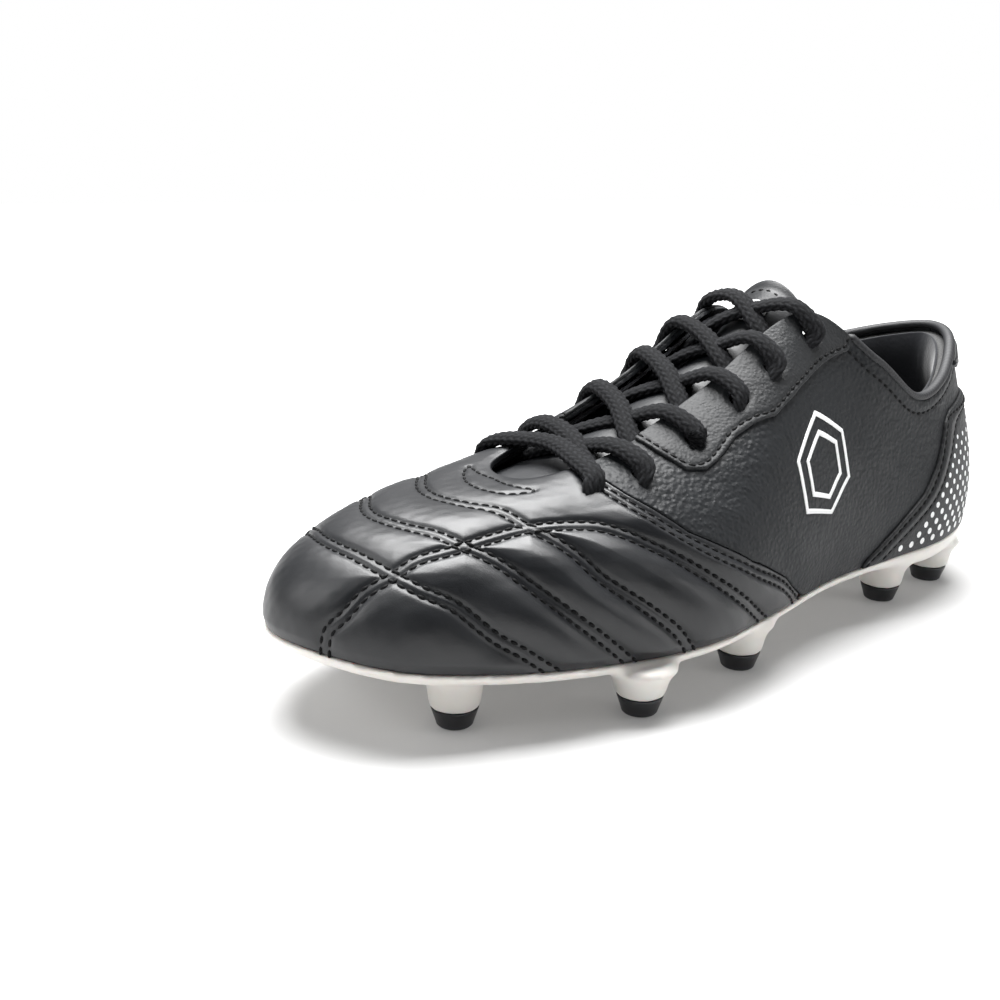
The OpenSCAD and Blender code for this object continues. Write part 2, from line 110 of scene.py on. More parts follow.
def ranged(tree, value, low, high, start=0.0, end=1.0):
    """The value's range from start to end, spread from low to high."""
    return add(tree, "ShaderNodeMapRange", {"Value": value, "From Min": start,
               "From Max": end, "To Min": low, "To Max": high}).outputs[0]


def cell_distance(tree, vector, scale, feature="F1"):
    """The distance to the middle of cells 1 / scale metres wide, or as feature says."""
    return add(tree, "ShaderNodeTexVoronoi", {"Vector": vector, "Scale": scale},
               feature=feature).outputs["Distance"]


def finish(tree, colour, roughness, **more):
    """The material's shader and output. An underscore stands for a space in a name."""
    shell = add(tree, "ShaderNodeBsdfPrincipled", {
        "Base Color": colour, "Roughness": roughness,
        **{name.replace("_", " "): value for name, value in more.items()}})
    add(tree, "ShaderNodeOutputMaterial", {"Surface": shell.outputs[0]})


camera_data = bpy.data.cameras.new("camera")
camera_data.sensor_width = 36
camera_data.lens = 41.6
camera_data.clip_start = 0.01
camera = bpy.data.objects.new("camera", camera_data)
bpy.context.scene.collection.objects.link(camera)
sight = Vector((-0.5566, -0.7832, -0.2773)).normalized()
level = sight.cross(Vector((0, 0, 1))).normalized()
above = level.cross(sight)
roll = math.radians(0.8)
right = level * math.cos(roll) + above * math.sin(roll)
upward = above * math.cos(roll) - level * math.sin(roll)
camera.matrix_world = Matrix((
    (right.x, upward.x, -sight.x, 0.2564),
    (right.y, upward.y, -sight.y, 0.2602),
    (right.z, upward.z, -sight.z, 0.1467),
    (0, 0, 0, 1)))
bpy.context.scene.camera = camera
bpy.context.scene.view_settings.view_transform = "Standard"

world = bpy.data.worlds.new("studio")
world.use_nodes = True
world.node_tree.nodes.clear()
bpy.context.scene.world = world
tree = world.node_tree
coords = add(tree, "ShaderNodeTexCoord")
toward_wall = add(tree, "ShaderNodeVectorMath",
                  {0: coords.outputs["Generated"], 1: (-0.56, -0.78, 0.28)},
                  operation="DOT_PRODUCT")
fall = add(tree, "ShaderNodeMapRange", {"Value": toward_wall.outputs["Value"],
           "From Min": -0.35, "From Max": 0.9, "To Min": 0.06, "To Max": 0.55})
seen = add(tree, "ShaderNodeLightPath")
level_mix = add(tree, "ShaderNodeMix", {0: seen.outputs["Is Camera Ray"],
                2: fall.outputs[0], 3: 1.0}, data_type="FLOAT")
sky = add(tree, "ShaderNodeBackground", {"Color": linear("#ffffff"),
          "Strength": level_mix.outputs[0]})
add(tree, "ShaderNodeOutputWorld", {"Surface": sky.outputs[0]})


def soft_light(name, place, aim, width, height, power):
    """A rectangular softbox at place, turned to aim."""
    data = bpy.data.lights.new(name, "AREA")
    data.shape = "RECTANGLE"
    data.size, data.size_y, data.energy = width, height, power
    lamp = bpy.data.objects.new(name, data)
    bpy.context.scene.collection.objects.link(lamp)
    lamp.location = place
    lamp.rotation_euler = (Vector(aim) - Vector(place)).to_track_quat("-Z", "Y").to_euler()
    return lamp


soft_light("light_overhead", (-0.10, -0.25, 1.10), (0, 0, 0.04), 1.0, 0.7, 46)
soft_light("light_toe", (0.95, -0.25, 0.55), (0.08, 0, 0.05), 0.35, 0.6, 4)
soft_light("light_heel", (-0.75, 0.75, 0.35), (-0.05, 0.02, 0.05), 0.3, 0.6, 2)

floor_mesh = bpy.data.meshes.new("floor")
floor_mesh.from_pydata([(-4, -4, 0), (4, -4, 0), (4, 4, 0), (-4, 4, 0)], [], [(0, 1, 2, 3)])
floor = bpy.data.objects.new("floor", floor_mesh)
floor.location.z = -0.0002
bpy.context.scene.collection.objects.link(floor)
# The floor's emission is a painted glow: faint near the shoe, full white from 0.7 m out, so
# the floor looks white and lights the shoe from below
floor_with_painted_glow, tree, here = blank_material("white_floor_painted_glow")
reach = add(tree, "ShaderNodeVectorMath", {0: here}, operation="LENGTH")
glow = add(tree, "ShaderNodeMapRange", {"Value": reach.outputs["Value"], "From Min": 0.1,
           "From Max": 0.7, "To Min": 0.12, "To Max": 1.0}, interpolation_type="SMOOTHSTEP")
finish(tree, linear("#bdbdbd"), 0.9, Specular_IOR_Level=0.1, Emission_Color=linear("#ffffff"),
       Emission_Strength=glow.outputs[0])
floor_mesh.materials.append(floor_with_painted_glow)

# ---------------------------------------------------------------------------
# Sole plate. Injection-moulded warm white TPU, one piece with the ten stud
# bases. The upper is cemented onto it, so its rim follows the foot of the last.
# ---------------------------------------------------------------------------

# The last, as ribs round the foot from the heel (0) along the lateral side to the
# toe (10) and back: foot x, foot y, top x, top y, top z, rise, flare, reach, drop.
RIBS = MM * np.array([
    [-139, -5, -130, -3, 91, 26, 4, 4, 22], [-127, 19, -121, 12, 88, 26, 4, 4, 22],
    [-100, 31, -101, 24, 77, 24, 3, 3, 20], [-68, 33, -81, 28, 73, 22, 4, 4, 18],
    [-36, 35, -61, 25, 87, 22, 6, 8, 24], [0, 43, -37, 12, 103, 24, 7, 18, 18],
    [30, 48, 4, 10, 81, 24, 6, 20, 12], [62, 44, 36, 11, 68, 24, 5, 20, 6],
    [98, 35, 56, 9, 63, 24, 5, 22, 3], [124, 22, 66, 4, 61, 24, 4, 34, 3],
    [139, -8, 69, -5, 61, 24, 3, 40, 4], [127, -31, 66, -12, 62, 24, 4, 34, 3],
    [98, -44, 57, -16, 64, 24, 5, 22, 3], [62, -48, 40, -18, 69, 26, 5, 18, 6],
    [26, -41, 8, -18, 83, 26, 7, 16, 12], [-10, -33, -28, -19, 102, 26, 9, 16, 18],
    [-44, -32, -57, -30, 93, 26, 8, 8, 24], [-74, -34, -79, -33, 83, 22, 5, 4, 20],
    [-104, -34, -101, -29, 85, 24, 3, 3, 20], [-127, -23, -121, -18, 89, 26, 4, 4, 22]])
RIB_COUNT = len(RIBS)


def rib_at(s):
    """The rib's numbers at station s: a closed cubic through the ribs."""
    s = np.asarray(s, float)
    i = np.floor(s).astype(int)
    u = (s - i)[..., None]
    a, b, c, d = (RIBS[(i + k) % RIB_COUNT] for k in (-1, 0, 1, 2))
    bend = 2 * a - 5 * b + 4 * c - d
    return b + 0.5 * u * (c - a + u * (bend + u * (3 * b - a - 3 * c + d)))


def unit(v):
    return v / np.maximum(np.linalg.norm(v, axis=-1, keepdims=True), 1e-12)


def feather_z(x):
    """Height of the feather line, where the upper meets the sole plate."""
    toe = np.clip((x - 45 * MM) / (97 * MM), 0, 1.1)
    return 17 * MM + 5 * MM * np.clip((45 * MM - x) / (185 * MM), 0, 1) + 9 * MM * toe ** 2


def foot_normal(s):
    step = rib_at(np.asarray(s) + 0.02)[..., :2] - rib_at(np.asarray(s) - 0.02)[..., :2]
    step = unit(step)
    return np.stack([-step[..., 1], step[..., 0]], -1)


def foot_line(s, out=0.0):
    """The feather line seen from above, moved outwards."""
    return rib_at(s)[..., :2] + out * foot_normal(s)


def new_piece(name, points, faces, material=None):
    """A smooth-shaded mesh object at the origin, its faces turned outwards."""
    mesh = bpy.data.meshes.new(name)
    mesh.from_pydata(np.asarray(points, float).reshape(-1, 3).tolist(), [], faces)
    solid = bmesh.new()
    solid.from_mesh(mesh)
    if solid.calc_volume(signed=True) < 0:
        mesh.flip_normals()
    solid.free()
    mesh.shade_smooth()
    if material:
        mesh.materials.append(material)
    piece = bpy.data.objects.new(name, mesh)
    bpy.context.scene.collection.objects.link(piece)
    return piece


def assemble(piece, body, slot, *nodes):
    """The piece moves with its body and stands for CAD nodes, which it hides. The slot is not
    used.
    """
    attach(piece, body)
    if nodes:
        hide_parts(*nodes)


def bake(piece):
    """The piece with its modifiers turned into a plain mesh."""
    depsgraph = bpy.context.evaluated_depsgraph_get()
    mesh = bpy.data.meshes.new_from_object(piece.evaluated_get(depsgraph))
    piece.modifiers.clear()
    old, piece.data = piece.data, mesh
    bpy.data.meshes.remove(old)
    mesh.name = piece.name
    return piece


def loop_stack(loops):
    """Points and faces of a solid through closed loops, from the bottom up."""
    count = len(loops[0])
    faces = [list(range(count))[::-1], [(len(loops) - 1) * count + k for k in range(count)]]
    for r in range(len(loops) - 1):
        for k in range(count):
            m = (k + 1) % count
            low, high = r * count, (r + 1) * count
            faces.append([low + k, low + m, high + m, high + k])
    return np.concatenate(loops), faces


# Station and the distance in from the feather line on each side, in millimetres
STUD_PLACES = [(8.2, 14.5, 12.5), (6.72, 4.2, 6), (5.12, 9, 9), (2.62, 11, 11),
               (1.42, 8.5, 8.5)]
TIP_HEIGHT = 5.5 * MM
PLATE_THICKNESS = 4 * MM
LEDGE = 0.6 * MM


def stud_centre(side, place):
    station = place[0] if side > 0 else RIB_COUNT - place[0]
    return foot_line(station, -place[1 if side > 0 else 2] * MM)


def plate_bottom(x):
    heel = np.clip((-60 * MM - x) / (30 * MM), 0, 1)
    return feather_z(x) - PLATE_THICKNESS - 3 * MM * heel


# Injection-moulded TPU, warm white: a satin skin with a faint orange peel.
white_tpu, tree, here = blank_material("moulded_tpu_warm_white")
cloudy = noise(tree, here, 45, 3)
tint = tinted(tree, cloudy, "#d9d5cf", "#e6e3de")
peel = noise(tree, here, 900, 2)
bump = bumped(tree, peel, 0.25, 0.1)
gloss = ranged(tree, cloudy, 0.32, 0.46)
finish(tree, tint, gloss, Normal=bump, IOR=1.5, Subsurface_Weight=0.12,
       Subsurface_Scale=2 * MM)

stations = np.arange(0, RIB_COUNT, 0.05)


def plate_loop(inset, height):
    flat = foot_line(stations, -inset)
    return np.column_stack([flat, height(flat[:, 0])])


points, faces = loop_stack([
    plate_loop(6 * MM - LEDGE, plate_bottom),
    plate_loop(2.6 * MM - LEDGE, lambda x: plate_bottom(x) + 0.4 * MM),
    plate_loop(0.9 * MM - LEDGE, lambda x: plate_bottom(x) + 1.6 * MM),
    plate_loop(0.1 * MM - LEDGE, lambda x: (plate_bottom(x) + feather_z(x)) / 2 + 0.6 * MM),
    plate_loop(-LEDGE - 0.3 * MM, lambda x: feather_z(x) - 0.5 * MM),
    plate_loop(-LEDGE - 0.3 * MM, lambda x: feather_z(x) + 0.35 * MM),
    plate_loop(1.2 * MM, lambda x: feather_z(x) + 0.2 * MM),
    plate_loop(9 * MM, lambda x: feather_z(x) - 0.2 * MM)])
plate = new_piece("sole_plate_moulding", points, faces, white_tpu)
turns = np.arange(0, 2 * math.pi, 2 * math.pi / 40)
ring = np.column_stack([np.cos(turns), np.sin(turns)])
parts = [plate]
for side in (1, -1):
    for place in STUD_PLACES:
        centre = stud_centre(side, place)
        root = float(plate_bottom(centre[0]))
        loops = []
        for height, radius in ((TIP_HEIGHT + 0.02 * MM, 7.1), (root - 4.2 * MM, 7.8),
                               (root - 2.0 * MM, 8.5), (root - 0.6 * MM, 9.5),
                               (root + 0.9 * MM, 10.8), (root + 2.6 * MM, 9.0)):
            loops.append(np.column_stack([centre + ring * radius * MM,
                                          np.full(len(ring), height)]))
        parts.append(new_piece("stud_base", *loop_stack(loops)))
# Three low shank ribs under the arch, between the ball and the heel studs
for place, half in ((-9, 38), (3, 44), (15, 38)):
    loops = []
    for height, wide, long in ((-1.7, 1.4, 0.93), (-1.2, 2.2, 1), (2, 2.4, 1)):
        flat = np.column_stack([long * half * MM * ring[:, 0] - 38 * MM,
                                wide * MM * ring[:, 1] + place * MM])
        loops.append(np.column_stack([flat, plate_bottom(flat[:, 0]) + height * MM]))
    parts.append(new_piece("shank_rib", *loop_stack(loops)))
with bpy.context.temp_override(active_object=plate, selected_editable_objects=parts,
                               object=plate, selected_objects=parts):
    bpy.ops.object.join()
remesh = plate.modifiers.new("skin", "REMESH")
remesh.mode = "VOXEL"
remesh.voxel_size = 1.0 * MM
soften = plate.modifiers.new("fillets", "SMOOTH")
soften.factor = 0.5
soften.iterations = 8
bake(plate)
plate.data.shade_smooth()
assemble(plate, "shoe", "sole_plate", "outsole_plate")

# ---------------------------------------------------------------------------
# Stud tips. Black TPU, a harder grade moulded onto the white bases. Each is a
# short cone with a rounded, slightly worn end, and a peg keys it into its base.
# ---------------------------------------------------------------------------

# Moulded black TPU: satin, scuffed lighter where it meets the ground.
black_tpu, tree, here = blank_material("moulded_tpu_black")
place_xyz = add(tree, "ShaderNodeSeparateXYZ", {0: here})
scuff = noise(tree, here, 700, 4)
low_edge = add(tree, "ShaderNodeMapRange", {"Value": place_xyz.outputs["Z"],
               "From Min": 0.0, "From Max": 2 * MM, "To Min": 0.7, "To Max": 0.05})
wear = add(tree, "ShaderNodeMath", {0: low_edge.outputs[0], 1: scuff},
           operation="MULTIPLY")
tint = tinted(tree, wear.outputs[0], "#191a1d", "#4a4b4f")
gloss = ranged(tree, wear.outputs[0], 0.38, 0.8)
bump = bumped(tree, scuff, 0.2, 0.1)
finish(tree, tint, gloss, Normal=bump, IOR=1.5)

TIP_PROFILE = [(0, 4.3), (0.12, 4.75), (0.5, 5.12), (1.1, 5.3), (3.2, 5.98), (4.9, 6.55),
               (5.3, 6.66), (5.5, 6.6), (5.5, 3.0), (8.3, 3.0), (8.5, 2.8)]
for side, side_name in ((1, "lateral"), (-1, "medial")):
    for place, stud_name in zip(STUD_PLACES, ("front", "ball", "rear_ball", "heel_front",
                                              "heel_rear")):
        centre = stud_centre(side, place)
        loops = [np.column_stack([centre + ring * radius * MM,
                                  np.full(len(ring), height * MM)])
                 for height, radius in TIP_PROFILE]
        tip = new_piece(f"tip_{stud_name}_{side_name}", *loop_stack(loops), black_tpu)
        tip.data.set_sharp_from_angle(angle=math.radians(50))
        assemble(tip, "shoe", "stud_tip", f"stud_tip_{stud_name}_{side_name}")

# ---------------------------------------------------------------------------
# Inside the shoe. A pressed cellulose board is lasted under the upper, and an
# EVA sockliner with a knitted black cover is bonded on top of it. Thermoplastic
# sheet stiffens the toe and the heel between outer and lining.
# ---------------------------------------------------------------------------

# Pressed cellulose board: buff, with short fibres lying every way.
board, tree, here = blank_material("pressed_cellulose_board")
fibres = noise(tree, here, 1200, 5)
tint = tinted(tree, fibres, "#7d6b4f", "#a08c6a")
finish(tree, tint, 0.95)

# Thermoplastic sheet: dull grey, hidden between the layers.
stiff_sheet, tree, here = blank_material("thermoplastic_sheet")
specks = noise(tree, here, 800)
tint = tinted(tree, specks, "#565656", "#686868")
finish(tree, tint, 0.7)
for node_name, material in (("insole_board", board), ("toe_puff", stiff_sheet),
                            ("heel_stiffener", stiff_sheet)):
    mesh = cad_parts[node_name].data
    mesh.materials.clear()
    mesh.materials.append(material)

# Knitted polyester on foam: black, matt, with a 1.2 mm knit.
knit, tree, here = blank_material("knitted_polyester_black")
courses = add(tree, "ShaderNodeTexWave", {"Vector": here,
              "Scale": 260.0, "Distortion": 0.0}, bands_direction="X")
wales = add(tree, "ShaderNodeTexWave", {"Vector": here,
            "Scale": 260.0, "Distortion": 0.0}, bands_direction="Y")
cells = add(tree, "ShaderNodeMath", {0: courses.outputs["Fac"], 1: wales.outputs["Fac"]},
            operation="MULTIPLY")
fuzz = noise(tree, here, 500, 4)
tint = tinted(tree, fuzz, "#1b1c1f", "#303236")
bump = bumped(tree, cells.outputs[0], 0.6, 0.3)
finish(tree, tint, 0.92, Normal=bump, Sheen_Weight=0.25, Sheen_Roughness=0.5)

SOLE_INSET = 3.65 * MM


def sock_loop(inset, rise):
    return plate_loop(SOLE_INSET + inset, lambda x: feather_z(x) + 2.3 * MM + rise)


points, faces = loop_stack([
    sock_loop(2.0 * MM, 0), sock_loop(0.9 * MM, 0.1 * MM), sock_loop(0.45 * MM, 1.6 * MM),
    sock_loop(0.5 * MM, 3.1 * MM), sock_loop(1.4 * MM, 3.5 * MM), sock_loop(5 * MM, 3.4 * MM),
    sock_loop(11 * MM, 3.1 * MM)])
sockliner = new_piece("sockliner_pad", points, faces, knit)
assemble(sockliner, "shoe", "sockliner", "sockliner")

# ---------------------------------------------------------------------------
# Linings. Black brushed fabric, cut in pieces and sewn edge to edge, behind the
# vamp, the quarters and the heel.
# ---------------------------------------------------------------------------


def skin(s, t, out=0.0):
    """Points on the outside of the upper at stations s and heights t, moved outwards."""
    s, t = np.broadcast_arrays(np.asarray(s, float), np.asarray(t, float))

    def controls(station):
        rib = rib_at(station)
        foot, top = rib[..., 0:2], rib[..., 2:4]
        out_flat, way = foot_normal(station), unit(foot - top)
        low = feather_z(rib[..., 0])[..., None]
        rise, flare, reach, drop = (rib[..., k:k + 1] for k in (5, 6, 7, 8))
        return (np.concatenate([foot, low], -1),
                np.concatenate([foot + out_flat * flare, low + rise], -1),
                np.concatenate([top + way * reach, rib[..., 4:5] - drop], -1),
                np.concatenate([top, rib[..., 4:5]], -1))

    def curve(c):
        v, w = (1 - t)[..., None], t[..., None]
        return v ** 3 * c[0] + 3 * v * v * w * c[1] + 3 * v * w * w * c[2] + w ** 3 * c[3]

    c = controls(s)
    v, w = (1 - t)[..., None], t[..., None]
    up = v * v * (c[1] - c[0]) + 2 * v * w * (c[2] - c[1]) + w * w * (c[3] - c[2])
    across = curve(controls(s + 0.03)) - curve(controls(s - 0.03))
    return curve(c) + np.asarray(out)[..., None] * unit(np.cross(up, across))


def from_table(table):
    """A curve of height by station through the table's points."""
    stations_, heights = zip(*table)
    return lambda s: np.interp(s, stations_, heights)


def lateral(s):
    return np.where(s > RIB_COUNT / 2, RIB_COUNT - s, s)


def spaced(count):
    """Even steps from 0 to 1, with finer ones at both ends for the rolled edges."""
    fine = np.array([0, 0.1, 0.3, 0.6]) / count
    return np.concatenate([fine, np.linspace(1 / count, 1 - 1 / count, count - 1),
                           1 - fine[::-1]])


def from_edge(grid):
    """How far each point of a grid lies from the grid's nearest edge."""
    along = np.linalg.norm(np.diff(grid, axis=0), axis=-1).cumsum(0)
    along = np.concatenate([np.zeros((1, along.shape[1])), along])
    over = np.linalg.norm(np.diff(grid, axis=1), axis=-1).cumsum(1)
    over = np.concatenate([np.zeros((over.shape[0], 1)), over], 1)
    return np.minimum.reduce([along, along[-1:] - along, over, over[:, -1:] - over])


def rolled(rim, radius):
    """How far a rolled edge of that radius falls away, rim metres from the edge."""
    return radius - np.sqrt(np.maximum(radius ** 2 - np.maximum(radius - rim, 0) ** 2, 0))


def sheet_of_upper(name, ends, low, high, columns, rows, outer, inner, material, roll=0.3,
                   inner_rows=None):
    """A closed panel of the upper between two depths in millimetres, its edges rolled."""
    a, b = np.meshgrid(spaced(columns), spaced(rows), indexing="ij")
    s = ends[0] + (ends[1] - ends[0]) * a
    t = low(s) + (np.maximum(high(s), low(s) + 1e-3) - low(s)) * b
    curl = rolled(from_edge(skin(s, t)), roll * MM)
    top = skin(s, t, outer(s, t) * MM - curl)
    kept = np.arange(t.shape[1]) if inner_rows is None else np.unique(
        np.linspace(0, t.shape[1] - 1, inner_rows).round().astype(int))
    bottom = skin(s[:, kept], t[:, kept], inner(s, t)[:, kept] * MM)
    m, n, k = top.shape[0], top.shape[1], len(kept)
    i, j = np.meshgrid(np.arange(m - 1), np.arange(n - 1), indexing="ij")
    p = (i * n + j).ravel()
    faces = np.column_stack([p, p + 1, p + n + 1, p + n]).tolist()
    i, j = np.meshgrid(np.arange(m - 1), np.arange(k - 1), indexing="ij")
    q = (m * n + i * k + j).ravel()
    faces += np.column_stack([q, q + k, q + k + 1, q + 1]).tolist()
    g = np.arange(m - 1)
    o, u = g * n, m * n + g * k
    faces += np.column_stack([o, o + n, u + k, u]).tolist()
    o, u = o + n - 1, u + k - 1
    faces += np.column_stack([o, u, u + k, o + n]).tolist()
    front, back = list(range(n)), [m * n + c for c in range(k)]
    faces.append(back + front[::-1])
    front = [(m - 1) * n + c for c in range(n)]
    back = [m * n + (m - 1) * k + c for c in range(k)]
    faces.append(front + back[::-1])
    if ends[1] < ends[0]:
        faces = [f[::-1] for f in faces]
    return new_piece(name, np.concatenate([top.reshape(-1, 3), bottom.reshape(-1, 3)]),
                     faces, material)


EYELETS = [(4.88, 0.9), (5.3, 0.82), (5.65, 0.81), (6.15, 0.79), (6.78, 0.77), (7.38, 0.79)]
EYELET_RADIUS = 3.1 * MM


def punch(piece, side, which, radius=EYELET_RADIUS):
    """Round holes through the piece where the lace passes."""
    points, faces = [], []
    for i in which:
        s = EYELETS[i][0] if side > 0 else RIB_COUNT - EYELETS[i][0]
        foot, head = skin(s, EYELETS[i][1], -8 * MM), skin(s, EYELETS[i][1], 8 * MM)
        axis = unit(head - foot)
        across = unit(np.cross(axis, (0, 0, 1)))
        other = np.cross(axis, across)
        spin = ring[:, :1] * across + ring[:, 1:] * other
        hole, sides = loop_stack([foot + spin * radius, head + spin * radius])
        faces += [[v + len(points) for v in f] for f in sides]
        points += hole.tolist()
    drill = new_piece("drill", points, faces)
    cut = piece.modifiers.new("holes", "BOOLEAN")
    cut.operation, cut.object, cut.solver = "DIFFERENCE", drill, "EXACT"
    bake(piece)
    bpy.data.objects.remove(drill)
    piece.data.set_sharp_from_angle(angle=math.radians(55))


# Brushed polyester lining: near black, soft nap that catches the light at an angle.
lining, tree, here = blank_material("brushed_polyester_lining")
nap = noise(tree, here, 900, 5)
patches = noise(tree, here, 60, 3)
tint = tinted(tree, patches, "#15161a", "#23252a")
bump = bumped(tree, nap, 0.5, 0.25)
finish(tree, tint, 0.95, Normal=bump, Sheen_Weight=0.35, Sheen_Roughness=0.4)


def level_at(value):
    return lambda s, t=0: np.full(np.shape(s), float(value))


vamp_lining = sheet_of_upper("lining_of_vamp", (7.11, 12.89), level_at(0.02), level_at(0.97),
                             110, 34, level_at(-2.6), level_at(-3.5), lining, roll=0.3)
for side in (1, -1):
    punch(vamp_lining, side, [5])
assemble(vamp_lining, "shoe", "lining", "vamp_lining")
heel_lining = sheet_of_upper("lining_of_heel", (-3.6, 3.6), level_at(0.02), level_at(0.58),
                             110, 26, level_at(-2.6), level_at(-3.5), lining, roll=0.3)
assemble(heel_lining, "shoe", "lining", "heel_lining")
for side, side_name in ((1, "lateral"), (-1, "medial")):
    ends = (3.65, 7.08) if side > 0 else (RIB_COUNT - 7.08, RIB_COUNT - 3.65)
    piece = sheet_of_upper(
        f"lining_of_{side_name}_quarter", ends, level_at(0.02),
        lambda s: np.where(lateral(s) < 4.5, 0.58, 0.985), 90, 40,
        level_at(-2.6), level_at(-3.5), lining, roll=0.3)
    punch(piece, side, range(5))
    assemble(piece, "shoe", "lining", f"quarter_lining_{side_name}")

# ---------------------------------------------------------------------------
# Vamp. One piece of smooth black coated leather over the toe. Pairs of stitch
# rows quilt it into puffed channels that arch across the toe and down the sides.
# ---------------------------------------------------------------------------

SEAM = [(4.5, 0), (4.95, 0.14), (5.58, 0.26), (6.35, 0.46), (6.98, 0.7), (7.55, 0.96),
        (7.65, 1)]
seam = from_table(SEAM)
# Lines of quilting by station and height, on the lateral half
ARC_LOW = [(10, .45), (9.65, .45), (9.12, .39), (8.8, .34), (8.43, .28), (8, .15),
           (7.78, .09), (7.53, 0)]
ARC_MID = [(10.15, .69), (9.28, .62), (8.68, .55), (8.15, .45), (7.68, .31), (7.28, .16),
           (6.9, 0)]
ARC_HIGH = [(10.3, .85), (8.95, .78), (7.95, .6), (7.53, .49), (7.2, .35), (6.78, .21),
            (6.48, .1), (6.3, 0)]
ARCH_SIDE = [(9.45, 0), (9.43, .1), (9.33, .19), (9.25, .3), (9.12, .39), (9, .48),
             (8.68, .54), (8.4, .58), (7.98, .61), (7.3, .58), (6.68, .43), (6, .23), (5.2, 0)]
LEAF = [(11.0, .93), (10.5, .955), (9.7, .965), (9.0, .93), (8.35, .865), (8.25, .84),
        (8.6, .845), (9.35, .885), (10.2, .915), (11.0, .93)]


def curve_through(table, count=400):
    """Stations and heights along a smooth curve through the table's points."""
    p = np.array(table, float)
    if np.allclose(p[0], p[-1]):
        p = np.concatenate([p[-2:-1], p, p[1:2]])
    else:
        p = np.concatenate([2 * p[:1] - p[1:2], p, 2 * p[-1:] - p[-2:-1]])
    u = np.linspace(0, len(p) - 3 - 1e-9, count)
    i = u.astype(int)
    f = (u - i)[:, None]
    a, b, c, d = (p[i + k] for k in range(4))
    q = b + 0.5 * f * (c - a + f * (2 * a - 5 * b + 4 * c - d + f * (3 * b - a - 3 * c + d)))
    return q[:, 0], q[:, 1]


def across_sides(table):
    """The same curve on the lateral and the medial half."""
    s, t = curve_through(table)
    return [(s, t), (RIB_COUNT - s, t)]


def joined_over_toe(table):
    """One curve from the lateral side over the toe to the medial side."""
    half = [p for p in table if p[0] < 10]
    return curve_through(half[::-1] + [(RIB_COUNT - s, t) for s, t in half], 700)


def moved(s, t, offset):
    """The curve moved sideways on the surface by offset millimetres."""
    e = 1e-3
    here = skin(s, t)
    ds, dt = (skin(s + e, t) - here) / e, (skin(s, t + e) - here) / e
    tangent = unit(np.gradient(here, axis=0))
    normal = unit(np.cross(dt, ds))
    step = np.cross(normal, tangent) * offset * MM
    ss, st, tt = (ds * ds).sum(-1), (ds * dt).sum(-1), (dt * dt).sum(-1)
    rs, rt = (ds * step).sum(-1), (dt * step).sum(-1)
    det = np.maximum(ss * tt - st * st, 1e-12)
    return s + (rs * tt - rt * st) / det, t + (rt * ss - rs * st) / det


def nearest(lines):
    """A function that gives the distance in millimetres from points to the lines."""
    cloud = np.concatenate([skin(s, t) for s, t in lines])
    finder = kdtree.KDTree(len(cloud))
    for i, p in enumerate(cloud):
        finder.insert(p, i)
    finder.balance()
    return lambda s, t: np.array([finder.find(p)[2] for p in skin(s, t).reshape(-1, 3)]
                                 ).reshape(np.shape(s)) / MM


quilt_lines = [joined_over_toe(a) for a in (ARC_LOW, ARC_MID, ARC_HIGH)]
quilt_lines += across_sides(ARCH_SIDE)
seam_line = across_sides(SEAM)
quilt_distance = nearest(quilt_lines)
seam_distance = nearest(seam_line)
leaf_distance = nearest([curve_through(LEAF, 300)])
ROW_OFFSET = 1.35


def ripple(s, t, scale, seed):
    """Smooth unevenness from -1 to 1, the same every run."""
    p = skin(s, t) / scale
    x, y, z = p[..., 0], p[..., 1], p[..., 2]
    return (np.sin(x * 1.0 + 2.1 * y + seed) * np.cos(1.7 * y - z * 1.3 + 2 * seed)
            + 0.6 * np.sin(2.3 * x - 1.9 * z + 3 * seed) * np.cos(2.9 * y + x + seed)) / 1.6


def vamp_relief(s, t):
    """How far the leather stands out, in millimetres."""
    d, e, f = quilt_distance(s, t), seam_distance(s, t), leaf_distance(s, t)
    side = lateral(s)
    cap = np.clip((side - 7.9) / 1.2, 0, 1) * np.clip((0.5 - t) / 0.1, 0, 1)
    band = np.clip((9.0 - side) / 1.5, 0, 1)
    low = np.clip((0.66 - t) / 0.2, 0, 1) * np.where(s > RIB_COUNT / 2, 0.5, 1.0)
    height = 0.7 + 1.6 * band * (1 - cap) * low
    near = np.minimum(d, e)
    puff = height * (1 - np.exp(-(near / 4.2) ** 2))
    furrow = -0.5 * np.exp(-((d - ROW_OFFSET) / 0.8) ** 2)
    furrow += -0.45 * np.exp(-((e - 1.6) / 0.8) ** 2) - 0.45 * np.exp(-((e - 4.2) / 0.8) ** 2)
    furrow += -0.45 * np.exp(-(f / 0.8) ** 2)
    crease = 0.10 * ripple(s, t, 6 * MM, 1) + 0.05 * ripple(s, t, 2.3 * MM, 4)
    crease = crease + 0.06 * band * ripple(s, t, 3.2 * MM, 2)
    foot = np.clip(t / 0.05, 0, 1)
    throat = np.clip((1 - t) / 0.04, 0, 1)
    return (puff + furrow + crease) * foot * (0.3 + 0.7 * throat)


# Coated full-grain leather, plated smooth: black, satin to glossy, with pores and
# hair-fine creases about 0.8 mm apart that the finish does not quite fill.
smooth_leather, tree, here = blank_material("coated_leather_plated_black")
pores = cell_distance(tree, here, 1250, "DISTANCE_TO_EDGE")
creases = noise(tree, here, 420, 6, Roughness=0.6, Distortion=0.4)
clouds = noise(tree, here, 55, 3)
grain = ranged(tree, pores, 0.0, 1.0, 0.0, 0.12)
relief = times_plus(tree, grain, 0.35, creases)
tint = tinted(tree, clouds, "#101114", "#191b1e")
gloss = ranged(tree, clouds, 0.34, 0.46, 0.3, 0.7)
bump = bumped(tree, relief, 0.22, 0.12)
finish(tree, tint, gloss, Normal=bump, IOR=1.5, Specular_IOR_Level=0.5)

